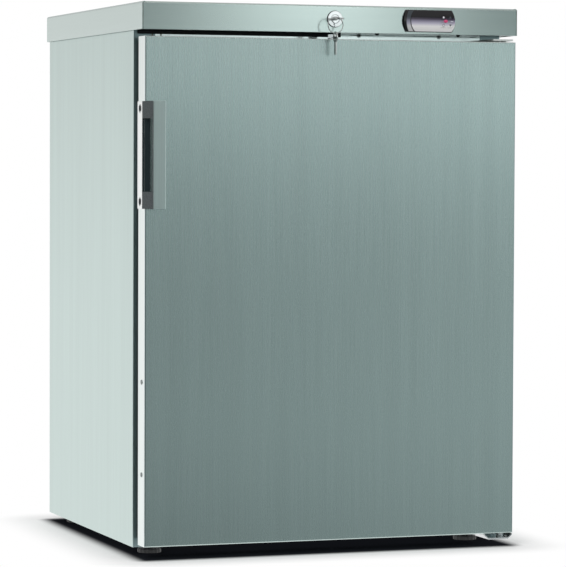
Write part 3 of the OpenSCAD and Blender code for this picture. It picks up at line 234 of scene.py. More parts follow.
head = add(tree, "ShaderNodeMapRange", {
    "Value": spot.outputs["Z"], "From Min": 0.9, "From Max": 1.02}, interpolation_type="SMOOTHSTEP")
tone = add(tree, "ShaderNodeMix", {"Factor": head, "A": door_tone, "B": skirt_tone})
edge = add(tree, "ShaderNodeMapRange", {
    "Value": spot.outputs["Z"], "From Min": 1.7, "From Max": flag_top},
    interpolation_type="SMOOTHSTEP")
tone = add(tree, "ShaderNodeMix", {"Factor": edge, "A": tone, "B": 0.66})
flag_glow = add(tree, "ShaderNodeMix", {"Factor": head, "A": cool_grey, "B": (0.97, 1, 1, 1)},
            data_type="RGBA")
glow = add(tree, "ShaderNodeEmission", {"Color": flag_glow.outputs["Result"], "Strength": tone})
add(tree, "ShaderNodeOutputMaterial", {"Surface": glow})
flag = stage_plane("Front_flag", [
    (flag_left, flag_y, 0), (flag_right, flag_y, 0), (flag_right, flag_y, flag_top),
    (flag_left, flag_y, flag_top)], flag_paint)

# A second flag, a glowing panel too, lies on the floor before the door and fades out at its ends; its
# glow is a painted reflection of a darker floor in the door.
floor_flag_paint, tree, _, _, low = glowing_flag("Floor_flag_painted_reflection", (
    (-5, 1.0), (-4, 0.5), (-3, 0.16), (-1, 0.15), (-0.2, 0.27), (0.5, 0.38), (1.0, 0.41),
    (1.6, 0.48), (2.5, 0.6), (4.5, 1.0)))
glow = add(tree, "ShaderNodeEmission", {"Color": cool_grey, "Strength": low})
add(tree, "ShaderNodeOutputMaterial", {"Surface": glow})
floor_flag = stage_plane("Floor_flag", [(x, y, 0.001) for x, y in (
    (flag_left, flag_y), (flag_right, flag_y), (flag_right, -0.33), (flag_left, -0.33))],
    floor_flag_paint)
for made in (flag, floor_flag):
    for ray_kind in ("camera", "diffuse", "shadow", "transmission"):
        setattr(made, "visible_" + ray_kind, False)


def lamp(name, place, watts):
    """A soft lamp, 2.4 m square, that faces the cabinet and is not mirrored in the steel."""
    data = bpy.data.lights.new(name, "AREA")
    data.shape = "SQUARE"
    data.size = 2.4
    data.energy = watts
    made = bpy.data.objects.new(name, data)
    aim = Vector((0, 0, 0.4)) - Vector(place)
    turn = aim.to_track_quat("-Z", "Y").to_matrix().to_4x4()
    made.matrix_world = Matrix.Translation(place) @ turn
    made.visible_glossy = False
    bpy.context.scene.collection.objects.link(made)


for name, place, watts in (("Key_lamp", (-2.6, -2.4, 3.2), 60), ("Fill_lamp", (2.8, -2.6, 2.4), 22),
                           ("Back_lamp", (0.5, 3.2, 3.0), 45)):
    lamp(name, place, watts)

# ---- Cabinet shell ----
# Side sheets of ferritic stainless steel, brushed up and down and folded at their front and
# back edges. The top, base and back are zinc-coated steel. The top and the base are folded into
# the rails that the door's gasket meets.


def welded(node, width, segments=2, angle=30):
    """A copy of a CAD node with its triangles joined and its sharp edges broken."""
    mesh = frame["nodes"][node].data.copy()
    shape = bmesh.new()
    shape.from_mesh(mesh)
    bmesh.ops.remove_doubles(shape, verts=shape.verts, dist=1e-6)
    bmesh.ops.dissolve_limit(shape, angle_limit=math.radians(0.2), verts=shape.verts,
                             edges=shape.edges)
    if width:
        sharp = [edge for edge in shape.edges
                 if edge.is_manifold and edge.calc_face_angle(0) > math.radians(angle)]
        bmesh.ops.bevel(shape, geom=sharp, offset=width, offset_type="OFFSET", segments=segments,
                        profile=0.5, affect="EDGES", clamp_overlap=True)
    shape.to_mesh(mesh)
    shape.free()
    return mesh


slot_of = {part["node"]: part["material_slot"] for part in frame["record"]["subparts"]}


def place_piece(name, mesh, body, slot, *nodes):
    """Puts a finished mesh in the scene on its body, in place of the CAD nodes named."""
    made = bpy.data.objects.new(name, mesh)
    bpy.context.scene.collection.objects.link(made)
    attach(made, body)
    if nodes:
        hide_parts(*nodes)
    return made


def keep_flat(mesh):
    """Normals weighted by area, so a flat sheet stays flat right up to its bends."""
    tool = bpy.data.objects.new("Flat_sheet", mesh)
    bpy.context.scene.collection.objects.link(tool)
    level = tool.modifiers.new("Area weights", "WEIGHTED_NORMAL")
    level.mode = "FACE_AREA"
    level.weight = 100
    level.keep_sharp = True
    seen_by = bpy.context.evaluated_depsgraph_get()
    flat = bpy.data.meshes.new_from_object(tool.evaluated_get(seen_by), depsgraph=seen_by)
    bpy.data.objects.remove(tool)
    return flat


def dress(node, material, width=0.0002, angle=30, run=None, segments=2):
    """Stands a welded copy in for a CAD node, with its finish, on the same body."""
    mesh = welded(node, width, segments, angle)
    mesh.materials.clear()
    mesh.materials.append(material)
    mesh.shade_smooth()
    mesh.set_sharp_from_angle(angle=math.radians(angle))
    mesh = keep_flat(mesh)
    if run:
        lay_grain(mesh, run)
    body = frame["nodes"][node]["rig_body"]
    return place_piece(node + "_finished", mesh, body, slot_of[node], node)


def repaint(piece, material, chosen):
    """Gives the faces whose normal is chosen a second finish."""
    piece.data.materials.append(material)
    for face in piece.data.polygons:
        if chosen(face.normal):
            face.material_index = len(piece.data.materials) - 1


def lay_grain(mesh, run):
    """UVs in metres for brushed sheet: U runs across the grain and V along it."""
    layer = mesh.uv_layers.new(name="grain")
    ways = {"z": {0: (1, 2), 1: (0, 2), 2: (0, 1)}, "x": {0: (2, 1), 1: (2, 0), 2: (1, 0)}}[run]
    for face in mesh.polygons:
        normal = face.normal
        across, along = ways[max(range(3), key=lambda k: abs(normal[k]))]
        for corner in face.loop_indices:
            place = mesh.vertices[mesh.loops[corner].vertex_index].co
            layer.data[corner].uv = (place[across], place[along])


def shades(colour, share, low):
    """Two ramp stops: a colour turned darker and paler by a share of itself."""
    base = linear(colour)[:3]
    return [(low, tuple(c * (1 - share) for c in base) + (1,)),
            (1 - low, tuple(min(1, c * (1 + share)) for c in base) + (1,))]


def brushed_steel(name, colour, grain, rough, tilt, depth=0.045):
    """Brushed stainless steel: scratches in one direction spread each reflection across them.

    The belt leaves scratches about 0.1 mm wide, too fine to show, so they are drawn at the
    width given in millimetres; a second pattern 22 mm wide is the belt's uneven pressure."""
    steel = bpy.data.materials.new(name)
    tree = open_tree(steel)
    uv = add(tree, "ShaderNodeUVMap", uv_map="grain")
    lines = add(tree, "ShaderNodeMapping", {"Vector": uv, "Scale": (1000 / grain, 5, 1)})
    scratch = add(tree, "ShaderNodeTexNoise", {
        "Vector": lines, "Scale": 1.0, "Detail": 4.0, "Roughness": 0.7}, noise_dimensions="2D")
    wide = add(tree, "ShaderNodeMapping", {"Vector": uv, "Scale": (45, 1.2, 1)})
    band = add(tree, "ShaderNodeTexNoise", {"Vector": wide, "Scale": 1.0, "Detail": 2.0},
               noise_dimensions="2D")
    both = add(tree, "ShaderNodeMix", {"Factor": 0.3, "A": scratch, "B": band})
    tint = add(tree, "ShaderNodeValToRGB", {"Fac": both})
    set_ramp(tint, shades(colour, depth, 0.35))
    dull = add(tree, "ShaderNodeMapRange", {
        "Value": scratch, "From Min": 0.3, "From Max": 0.7, "To Min": rough - 0.02,
        "To Max": rough + 0.03})
    relief = add(tree, "ShaderNodeBump", {"Height": scratch, "Strength": 0.06, "Distance": 0.00005})
    turn = add(tree, "ShaderNodeTangent", direction_type="UV_MAP", uv_map="grain")
    gloss = add(tree, "ShaderNodeBsdfPrincipled", {
        "Base Color": tint, "Metallic": 1.0, "Roughness": dull, "Anisotropic": tilt,
        "Normal": relief, "Tangent": turn})
    add(tree, "ShaderNodeOutputMaterial", {"Surface": gloss})
    return steel


# Sheet with an upright 240-grit grain: a soft grey that keeps its tone from top to bottom.
panel_steel = brushed_steel("Brushed_stainless_sheet", "CEDEDA", 1.6, 0.3, 0.7)
# The front returns, in shade behind the door, take a darker copy of the steel: painted shade.
painted_shade_steel = brushed_steel("Stainless_darkened_as_painted_shade", "8A9C9E", 1.6, 0.3, 0.7)
for side in ("side_panel_left", "side_panel_right"):
    repaint(dress(side, panel_steel, 0.0003, run="z"), painted_shade_steel, lambda n: n.y < -0.9)


def grained(name, colour, rough, play, grain, mottle, low, bump, relief, detail, sockets):
    """A finish whose colour, gloss and height follow one noise, its grain in millimetres. Play is
    how far its roughness swings, and relief is the height of its bumps in metres."""
    made = bpy.data.materials.new(name)
    tree = open_tree(made)
    grit = add(tree, "ShaderNodeTexNoise", {
        "Vector": add(tree, "ShaderNodeTexCoord").outputs["Object"], "Scale": 1000 / grain,
        "Detail": detail})
    tint = add(tree, "ShaderNodeValToRGB", {"Fac": grit})
    set_ramp(tint, shades(colour, mottle, low))
    dull = add(tree, "ShaderNodeMapRange", {
        "Value": grit, "From Min": 0.3, "From Max": 0.7, "To Min": max(0.02, rough - play),
        "To Max": rough + play})
    bumps = add(tree, "ShaderNodeBump", {"Height": grit, "Strength": bump, "Distance": relief})
    gloss = add(tree, "ShaderNodeBsdfPrincipled", dict(sockets, **{
        "Base Color": tint, "Roughness": dull, "Normal": bumps}))
    add(tree, "ShaderNodeOutputMaterial", {"Surface": gloss})
    return made


def metal(name, colour, rough, mottle=0.06, grain=2.5, bump=0.05):
    """A plain metal with a mottle in its colour and gloss."""
    return grained(name, colour, rough, 0.05, grain, mottle, 0.35, bump, 0.0001, 4.0,
                   {"Metallic": 1.0})


# Hot-dip zinc: dull grey with a flowery crystal pattern about 12 mm across.
zinc_sheet = bpy.data.materials.new("Hot_dip_zinc_coated_steel")
tree = open_tree(zinc_sheet)
place = add(tree, "ShaderNodeTexCoord")
flake = add(tree, "ShaderNodeTexVoronoi", {"Vector": place.outputs["Object"], "Scale": 1000 / 12})
shade = add(tree, "ShaderNodeSeparateColor", {0: flake.outputs["Color"]})
tint = add(tree, "ShaderNodeValToRGB", {"Fac": shade})
set_ramp(tint, [(0.0, linear("A9AEAF")), (1.0, linear("BFC4C5"))])
dull = add(tree, "ShaderNodeMapRange", {"Value": shade.outputs[1], "To Min": 0.34, "To Max": 0.48})
gloss = add(tree, "ShaderNodeBsdfPrincipled", {
    "Base Color": tint, "Metallic": 1.0, "Roughness": dull})
add(tree, "ShaderNodeOutputMaterial", {"Surface": gloss})
# Bright-rolled stainless covers the rails that the gasket meets: smooth enough to mirror the room.
rail_steel = metal("Bright_rolled_stainless", "DDE4E2", 0.1, 0.02, 9, 0.02)
for sheet in ("top_panel", "base_pan"):
    repaint(dress(sheet, zinc_sheet, 0.0002), rail_steel, lambda n: n.y < -0.9)
dress("back_panel", zinc_sheet, 0.0002)

# ---- Insulation and liner ----
# Polyurethane foam fills the walls around a liner that is one sheet of white polystyrene,
# drawn down hot over a mould, with a step over the machine bay.


def moulded(name, colour, rough, ior=1.49, grain=0.7, bump=0.08, mottle=0.03, coat=0.0):
    """Moulded plastic, rubber, paint or enamel: an even colour with a fine texture."""
    return grained(name, colour, rough, 0.04, grain, mottle, 0.3, bump, 0.0002, 3.0,
                   {"IOR": ior, "Coat Weight": coat, "Coat Roughness": 0.05})


# Rigid foam: straw yellow and dead matt, with cells drawn 1.5 mm wide so that they show.
foam = moulded("Rigid_polyurethane_foam", "D9C48A", 0.85, 1.5, 1.5, 0.5, 0.12)
dress("insulation_foam", foam, 0)
# High-impact polystyrene: clean white with the soft sheen of a vacuum-formed sheet.
liner_white = moulded("Vacuum_formed_polystyrene", "ECEEEA", 0.28, 1.59, 1.1, 0.05)
dress("inner_liner", liner_white, 0, angle=40)
dress("shelf_supports", liner_white, 0.0006)

# ---- Shelves ----
# Three shelves of bright steel wire, chromed: a bent frame rod, one cross rod under it and
# nineteen wires spot-welded on top, which run from front to back.
shelf_low, shelf_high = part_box("wire_shelves")
frame_rod, shelf_wire, shelf_pitch = 0.003, 0.0015, 0.130
quarter_turn = math.radians(90)
shelf_y0, shelf_y1 = shelf_low.y + frame_rod, shelf_high.y - frame_rod
shelf_mid = (shelf_y0 + shelf_y1) / 2


def sized_tree(name, sizes):
    """A Geometry Nodes tree with one named input for each size, and its input node."""
    kinds = {int: "NodeSocketInt", float: "NodeSocketFloat"}
    tree = bpy.data.node_groups.new(name, "GeometryNodeTree")
    tree.interface.new_socket(name="Geometry", in_out="INPUT", socket_type="NodeSocketGeometry")
    tree.interface.new_socket(name="Geometry", in_out="OUTPUT", socket_type="NodeSocketGeometry")
    for label in sizes:
        kind = kinds[type(sizes[label])]
        tree.interface.new_socket(name=label, in_out="INPUT", socket_type=kind)
    tree.interface.new_socket(name="Material", in_out="INPUT", socket_type="NodeSocketMaterial")
    return tree, add(tree, "NodeGroupInput").outputs


def close_tree(tree, shape, entry):
    """Ends a tree: its instances are made real and take the material."""
    real = add(tree, "GeometryNodeRealizeInstances", {"Geometry": shape})
    painted = add(tree, "GeometryNodeSetMaterial", {
        "Geometry": real, "Material": entry["Material"]})
    add(tree, "NodeGroupOutput", {"Geometry": painted})


def grow(name, tree, sizes, material, start=None, angle=40):
    """The plain mesh that a tree makes from its sizes."""
    seed = bpy.data.objects.new(name, start or bpy.data.meshes.new(name))
    bpy.context.scene.collection.objects.link(seed)
    maker = seed.modifiers.new(name, "NODES")
    maker.node_group = tree
    for item in tree.interface.items_tree:
        if item.in_out == "INPUT" and item.name in sizes:
            maker[item.identifier] = sizes[item.name]
        elif item.in_out == "INPUT" and item.name == "Material":
            maker[item.identifier] = material
    seed.update_tag()
    ready = bpy.context.evaluated_depsgraph_get()
    mesh = bpy.data.meshes.new_from_object(seed.evaluated_get(ready))
    bpy.data.objects.remove(seed)
    mesh.name = name
    mesh.shade_smooth()
    mesh.set_sharp_from_angle(angle=math.radians(angle))
    return mesh


def moved(tree, shape, x=0.0, y=0.0, z=0.0, turn=(0, 0, 0)):
    """A shape turned about the tree's middle and then moved."""
    spot = add(tree, "ShaderNodeCombineXYZ", {"X": x, "Y": y, "Z": z})
    return add(tree, "GeometryNodeTransform", {
        "Geometry": shape, "Translation": spot, "Rotation": turn})


def rod(tree, radius, length, sides, x=0.0, y=0.0, z=0.0, turn=(0, 0, 0)):
    """A round rod, upright unless it is turned."""
    upright = add(tree, "GeometryNodeMeshCylinder", {
        "Vertices": sides, "Radius": radius, "Depth": length})
    return moved(tree, upright, x, y, z, turn)


def tube_along(tree, path, radius, sides, caps=False):
    """A round tube or wire that follows a curve."""
    section = add(tree, "GeometryNodeCurvePrimitiveCircle", {"Resolution": sides, "Radius": radius})
    return add(tree, "GeometryNodeCurveToMesh", {
        "Curve": path, "Profile Curve": section, "Fill Caps": caps})


def row_of(tree, shape, count, start, step):
    """Copies of a shape in a row, the first at start and each a step further on."""
    line = add(tree, "GeometryNodeMeshLine", {
        "Count": count, "Start Location": start, "Offset": step}, mode="OFFSET")
    return add(tree, "GeometryNodeInstanceOnPoints", {"Points": line, "Instance": shape})


sizes = {"Half width": shelf_high.x - frame_rod, "Depth": shelf_y1 - shelf_y0, "Middle": shelf_mid,
         "First height": shelf_low.z + frame_rod, "Pitch": shelf_pitch, "Shelves": 3,
         "Frame radius": frame_rod, "Corner radius": 0.014, "Wire radius": shelf_wire, "Wires": 19,
         "Brace radius": 0.002, "Weld depth": 0.0004}
tree, size = sized_tree("Wire_shelf_maker", sizes)
width = add(tree, "ShaderNodeMath", {0: size["Half width"], 1: 2.0}, operation="MULTIPLY")
loop = add(tree, "GeometryNodeCurvePrimitiveQuadrilateral", {
    "Width": width, "Height": size["Depth"]})
loop = add(tree, "GeometryNodeFilletCurve", {
    "Curve": loop, "Radius": size["Corner radius"], "Count": 8}, mode="POLY")
frame_loop = tube_along(tree, loop, size["Frame radius"], 14)
span = add(tree, "ShaderNodeMath", {0: size["Half width"], 1: size["Corner radius"]},
           operation="SUBTRACT")
first = add(tree, "ShaderNodeMath", {0: span, 1: -1.0}, operation="MULTIPLY")
lift = add(tree, "ShaderNodeMath", {0: size["Frame radius"], 1: size["Wire radius"]},
           operation="ADD")
lift = add(tree, "ShaderNodeMath", {0: lift, 1: size["Weld depth"]}, operation="SUBTRACT")
start = add(tree, "ShaderNodeCombineXYZ", {"X": first, "Z": lift})
last = add(tree, "ShaderNodeCombineXYZ", {"X": span, "Z": lift})
row = add(tree, "GeometryNodeMeshLine", {
    "Count": size["Wires"], "Start Location": start, "Offset": last}, mode="END_POINTS")
wire = rod(tree, size["Wire radius"], size["Depth"], 10, turn=(quarter_turn, 0, 0))
wires = add(tree, "GeometryNodeInstanceOnPoints", {"Points": row, "Instance": wire})
brace = rod(tree, size["Brace radius"], width, 12, turn=(0, quarter_turn, 0))
shelf = add(tree, "GeometryNodeJoinGeometry", {0: [frame_loop, wires, brace]})
spot = add(tree, "ShaderNodeCombineXYZ", {"Y": size["Middle"], "Z": size["First height"]})
step = add(tree, "ShaderNodeCombineXYZ", {"Z": size["Pitch"]})
close_tree(tree, row_of(tree, shelf, size["Shelves"], spot, step), size)
# Chromium on steel: bright and slightly cool, with a faint waviness 3 mm long.
chromed = metal("Chromium_plated_wire", "D6D8D9", 0.14, 0.02, 3, 0.02)
place_piece("Wire_shelves", grow("Wire_shelves", tree, sizes, chromed), "cabinet", "chromed_wire",
            "wire_shelves")

# ---- Evaporator ----
# Two aluminium sheets rolled together, with the channel for the gas blown up between them.
# It hangs on four studs before the back wall.


def serpentine(name):
    """A tree that bends one tube to and fro, with a half turn at the end of each run."""
    labels = {
        "Half width": 0.2, "First height": 0.3, "Pitch": 0.04, "Runs": 6, "Tube radius": 0.003,
        "Depth": 0.2, "Flatness": 1.0}
    tree, size = sized_tree(name, labels)
    points = add(tree, "ShaderNodeMath", {0: size["Runs"], 1: 2.0}, operation="MULTIPLY")
    line = add(tree, "GeometryNodeMeshLine", {"Count": points}, mode="OFFSET")
    index = add(tree, "GeometryNodeInputIndex")
    pair = add(tree, "ShaderNodeMath", {0: index, 1: 2.0}, operation="DIVIDE")
    pair = add(tree, "ShaderNodeMath", {0: pair}, operation="FLOOR")
    after = add(tree, "ShaderNodeMath", {0: index, 1: 1.0}, operation="ADD")
    after = add(tree, "ShaderNodeMath", {0: after, 1: 2.0}, operation="DIVIDE")
    after = add(tree, "ShaderNodeMath", {0: after}, operation="FLOOR")
    side = add(tree, "ShaderNodeMath", {0: after, 1: 2.0}, operation="MODULO")
    side = add(tree, "ShaderNodeMath", {0: side, 1: 2.0, 2: -1.0}, operation="MULTIPLY_ADD")
    across = add(tree, "ShaderNodeMath", {0: side, 1: size["Half width"]}, operation="MULTIPLY")
    height = add(tree, "ShaderNodeMath", {0: pair, 1: size["Pitch"], 2: size["First height"]},
                 operation="MULTIPLY_ADD")
    spot = add(tree, "ShaderNodeCombineXYZ", {"X": across, "Z": height})
    path = add(tree, "GeometryNodeSetPosition", {"Geometry": line, "Position": spot})
    path = add(tree, "GeometryNodeMeshToCurve", {"Mesh": path})
    bend = add(tree, "ShaderNodeMath", {0: size["Pitch"], 1: 0.499}, operation="MULTIPLY")
    path = add(tree, "GeometryNodeFilletCurve", {"Curve": path, "Radius": bend, "Count": 8},
               mode="POLY")
    tube = tube_along(tree, path, size["Tube radius"], 12, caps=True)
    squeeze = add(tree, "ShaderNodeCombineXYZ", {"X": 1.0, "Y": size["Flatness"], "Z": 1.0})
    shift = add(tree, "ShaderNodeCombineXYZ", {"Y": size["Depth"]})
    tube = add(tree, "GeometryNodeTransform", {
        "Geometry": tube, "Scale": squeeze, "Translation": shift})
    return tree, size, tube


evap_low, evap_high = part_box("evaporator_plate")
channel_rise, evap_margin, evap_runs = 0.003, 0.020, 6
evap_face = evap_low.y + channel_rise
evap_pitch = (evap_high.z - evap_low.z - 3 * evap_margin) / (evap_runs - 1)
# Roll-bonded aluminium: pale, with the satin left by the rolls and a mottle 2 mm wide.
roll_bond = metal("Roll_bonded_aluminium", "D4D6D7", 0.42, 0.05, 2)
tree, size, tube = serpentine("Blown_channel_maker")
close_tree(tree, tube, size)
channel = grow("Evaporator_channel", tree, {
    "Half width": evap_high.x - evap_margin, "First height": evap_low.z + 1.5 * evap_margin,
    "Pitch": evap_pitch, "Runs": evap_runs, "Tube radius": 0.0045, "Depth": evap_face,
    "Flatness": 0.6}, roll_bond)
place_piece("Evaporator_channel", channel, "cabinet", "roll_bond")
plate = welded("evaporator_plate", 0)
shape = bmesh.new()
shape.from_mesh(plate)
bmesh.ops.bisect_plane(shape, geom=shape.verts[:] + shape.edges[:] + shape.faces[:],
                       plane_co=(0, evap_face, 0), plane_no=(0, -1, 0), clear_outer=True)
bmesh.ops.holes_fill(shape, edges=[e for e in shape.edges if e.is_boundary])
bmesh.ops.recalc_face_normals(shape, faces=shape.faces)
shape.to_mesh(plate)
shape.free()
plate.materials.clear()
plate.materials.append(roll_bond)
place_piece("Evaporator_sheet", plate, "cabinet", "roll_bond", "evaporator_plate")

# ---- Fan ----
# A five-bladed nylon rotor on a shaded-pole motor, behind a round wire guard in a white
# moulded housing whose two banks of slanted slats let the air back out.


def turned_copies(tree, count, shape):
    """Copies of a shape about the tree's middle, in even turns."""
    line = add(tree, "GeometryNodeMeshLine", {"Count": count, "Offset": (0, 0, 0)}, mode="OFFSET")
    one = add(tree, "ShaderNodeMath", {0: math.tau, 1: count}, operation="DIVIDE")
    turn = add(tree, "ShaderNodeMath", {
        0: add(tree, "GeometryNodeInputIndex"), 1: one}, operation="MULTIPLY")
    face = add(tree, "ShaderNodeCombineXYZ", {"Z": turn})
    return add(tree, "GeometryNodeInstanceOnPoints", {
        "Points": line, "Instance": shape, "Rotation": face})


def close_facing(tree, parts, size):
    """Ends a tree whose parts lie flat: they are stood up to face the front, in their place."""
    whole = add(tree, "GeometryNodeJoinGeometry", {0: parts})
    close_tree(tree, moved(tree, whole, y=size["Depth"], z=size["Height"],
                           turn=(quarter_turn, 0, 0)), size)


dress("fan_housing", liner_white, 0.0005)
# Glass-filled nylon: near black, satin, with a fine spark-eroded mould texture.
motor_black = moulded("Black_moulded_nylon", "1B1C1D", 0.5, 1.53, 0.6)
dress("fan_motor", motor_black, 0.0004)
guard_low, guard_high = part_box("fan_guard")
fan_z = (guard_low.z + guard_high.z) / 2
sizes = {
    "Outer radius": (guard_high.x - guard_low.x) / 2 - 0.0015, "Rings": 6, "Wire radius": 0.0012,
    "Spokes": 8, "Spoke lift": 0.0018, "Boss radius": 0.009, "Boss height": 0.0024,
    "Boss lift": 0.0014, "Depth": guard_high.y - 0.0014, "Height": fan_z}
tree, size = sized_tree("Wire_guard_maker", sizes)
line = add(tree, "GeometryNodeMeshLine", {"Count": size["Rings"], "Offset": (0, 0, 0)},
           mode="OFFSET")
number = add(tree, "ShaderNodeMath", {
    0: add(tree, "GeometryNodeInputIndex"), 1: 1.0}, operation="ADD")
share = add(tree, "ShaderNodeMath", {0: number, 1: size["Rings"]}, operation="DIVIDE")
ring = add(tree, "GeometryNodeCurvePrimitiveCircle", {
    "Resolution": 64, "Radius": size["Outer radius"]})
rings = add(tree, "GeometryNodeInstanceOnPoints", {
    "Points": line, "Instance": ring, "Scale": share})
rings = add(tree, "GeometryNodeRealizeInstances", {"Geometry": rings})
rings = tube_along(tree, rings, size["Wire radius"], 8)
far = add(tree, "ShaderNodeMath", {0: size["Outer radius"], 1: 0.5}, operation="MULTIPLY")
spoke = rod(tree, size["Wire radius"], size["Outer radius"], 8, x=far, z=size["Spoke lift"],
            turn=(0, quarter_turn, 0))
spokes = turned_copies(tree, size["Spokes"], spoke)
boss = rod(tree, size["Boss radius"], size["Boss height"], 24, z=size["Boss lift"])
close_facing(tree, [rings, spokes, boss], size)
place_piece("Fan_guard_wires", grow("Fan_guard_wires", tree, sizes, chromed), "cabinet",
            "chromed_wire", "fan_guard")

rotor_low, rotor_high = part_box("fan_rotor")
sizes = {
    "Blades": 5, "Hub radius": 0.0155, "Tip radius": 0.0515, "Chord": 0.027, "Root pitch": 0.66,
    "Tip pitch": 0.40, "Thickness": 0.0013, "Boss radius": 0.016, "Boss length": 0.0216,
    "Depth": (rotor_low.y + rotor_high.y) / 2, "Height": fan_z}
tree, size = sized_tree("Fan_blade_maker", sizes)
sheet = add(tree, "GeometryNodeMeshGrid", {
    "Size X": 1.0, "Size Y": 1.0, "Vertices X": 10, "Vertices Y": 9})
here = add(tree, "ShaderNodeSeparateXYZ", {0: add(tree, "GeometryNodeInputPosition")})
along = add(tree, "ShaderNodeMapRange", {
    "Value": here.outputs["X"], "From Min": -0.5, "From Max": 0.5, "To Min": size["Hub radius"],
    "To Max": size["Tip radius"]})
pitch_here = add(tree, "ShaderNodeMapRange", {
    "Value": here.outputs["X"], "From Min": -0.5, "From Max": 0.5, "To Min": size["Root pitch"],
    "To Max": size["Tip pitch"]})
grown_chord = add(tree, "ShaderNodeMapRange", {
    "Value": here.outputs["X"], "From Min": -0.5, "From Max": 0.5, "To Min": 0.78, "To Max": 1.0})
chord = add(tree, "ShaderNodeMath", {0: size["Chord"], 1: grown_chord}, operation="MULTIPLY")
offset = add(tree, "ShaderNodeMath", {0: here.outputs["Y"], 1: chord}, operation="MULTIPLY")
cosine = add(tree, "ShaderNodeMath", {0: pitch_here}, operation="COSINE")
sine = add(tree, "ShaderNodeMath", {0: pitch_here}, operation="SINE")
swing = add(tree, "ShaderNodeMath", {0: offset, 1: cosine}, operation="MULTIPLY")
drop = add(tree, "ShaderNodeMath", {0: offset, 1: sine}, operation="MULTIPLY")
square = add(tree, "ShaderNodeMath", {0: here.outputs["Y"], 1: here.outputs["Y"]},
             operation="MULTIPLY")
camber = add(tree, "ShaderNodeMath", {0: square, 1: 0.008, 2: -0.001}, operation="MULTIPLY_ADD")
drop = add(tree, "ShaderNodeMath", {0: drop, 1: camber}, operation="ADD")
angle_at = add(tree, "ShaderNodeMath", {0: swing, 1: along}, operation="DIVIDE")
cos_at = add(tree, "ShaderNodeMath", {0: angle_at}, operation="COSINE")
sin_at = add(tree, "ShaderNodeMath", {0: angle_at}, operation="SINE")
tip_x = add(tree, "ShaderNodeMath", {0: cos_at, 1: along}, operation="MULTIPLY")
tip_y = add(tree, "ShaderNodeMath", {0: sin_at, 1: along}, operation="MULTIPLY")
spot = add(tree, "ShaderNodeCombineXYZ", {"X": tip_x, "Y": tip_y, "Z": drop})
blade = add(tree, "GeometryNodeSetPosition", {"Geometry": sheet, "Position": spot})
back = add(tree, "GeometryNodeFlipFaces", {"Mesh": blade})
thick = add(tree, "GeometryNodeExtrudeMesh", {
    "Mesh": blade, "Offset Scale": size["Thickness"], "Individual": False}, mode="FACES")
solid = add(tree, "GeometryNodeJoinGeometry", {0: [thick, back]})
solid = add(tree, "GeometryNodeMergeByDistance", {"Geometry": solid, "Distance": 0.00001})
blades = turned_copies(tree, size["Blades"], solid)
hub = rod(tree, size["Boss radius"], size["Boss length"], 32)
close_facing(tree, [blades, hub], size)
place_piece("Fan_rotor_blades", grow("Fan_rotor_blades", tree, sizes, motor_black),
            frame["nodes"]["fan_rotor"]["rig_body"], slot_of["fan_rotor"], "fan_rotor")

sizes = {"Slats": 7, "Pitch": 0.012, "Width": 0.0556, "Chord": 0.0062, "Thickness": 0.0008,
         "Slant": 0.6, "Side": 0.108, "Depth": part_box("fan_housing")[0].y + 0.0034, "Height": fan_z}
tree, size = sized_tree("Slat_bank_maker", sizes)
slat = add(tree, "ShaderNodeCombineXYZ", {
    "X": size["Width"], "Y": size["Chord"], "Z": size["Thickness"]})
slat = add(tree, "GeometryNodeMeshCube", {"Size": slat})
tip = add(tree, "ShaderNodeCombineXYZ", {"X": size["Slant"]})
slat = moved(tree, slat, turn=tip)
half = add(tree, "ShaderNodeMath", {0: size["Slats"], 1: 1.0}, operation="SUBTRACT")
half = add(tree, "ShaderNodeMath", {0: half, 1: -0.5}, operation="MULTIPLY")
foot = add(tree, "ShaderNodeMath", {0: half, 1: size["Pitch"], 2: size["Height"]},
           operation="MULTIPLY_ADD")
step = add(tree, "ShaderNodeCombineXYZ", {"Z": size["Pitch"]})
banks = []
for way in (-1.0, 1.0):
    aside = add(tree, "ShaderNodeMath", {0: size["Side"], 1: way}, operation="MULTIPLY")
    start = add(tree, "ShaderNodeCombineXYZ", {"X": aside, "Y": size["Depth"], "Z": foot})
    banks.append(row_of(tree, slat, size["Slats"], start, step))
close_tree(tree, add(tree, "GeometryNodeJoinGeometry", {0: banks}), size)
place_piece("Fan_housing_slats", grow("Fan_housing_slats", tree, sizes, liner_white), "cabinet",
            slot_of["fan_housing"])

# ---- Worktop ----
# One stainless sheet, brushed from side to side, folded down on three sides over a board of
# chipboard. A zinc-coated tray closes the control space behind the front skirt.
# The finer belt of a worktop leaves a sheet that mirrors the room as a soft blur.
worktop_steel = brushed_steel("Brushed_stainless_worktop", "C6D4D0", 1.6, 0.22, 0.8, 0.03)
dress("worktop_cap", worktop_steel, 0.0001, run="x")
# Chipboard: tan flakes about 3 mm long, dry and matt.
board = moulded("Raw_chipboard", "B79467", 0.8, 1.5, 3, 0.5, 0.2)
dress("worktop_board", board, 0.0004)
# Zinc sheet straight from the rolls: mid grey, and smooth enough to mirror the gap.
tray_zinc = metal("Rolled_zinc_sheet", "99A1A2", 0.2, 0.02, 9, 0.02)
dress("control_tray", tray_zinc, 0.0001)


def bridge(shape, rings, loop=False):
    """Joins rings of points into a skin, with a face on each end or joined end to end."""
    rings = [[shape.verts.new(point) for point in ring] for ring in rings]
    for here, there in zip(rings, rings[1:] + rings[:1] if loop else rings[1:]):
        for k in range(len(here)):
            n = (k + 1) % len(here)
            shape.faces.new((here[k], here[n], there[n], there[k]))
    if not loop:
        shape.faces.new(rings[0][::-1])
        shape.faces.new(rings[-1])


def plain_mesh(shape, name, material):
    """Turns a worked shape into a mesh with one finish, its faces outwards."""
    bmesh.ops.recalc_face_normals(shape, faces=shape.faces)
    mesh = bpy.data.meshes.new(name)
    shape.to_mesh(mesh)
    shape.free()
    mesh.materials.append(material)
    return mesh
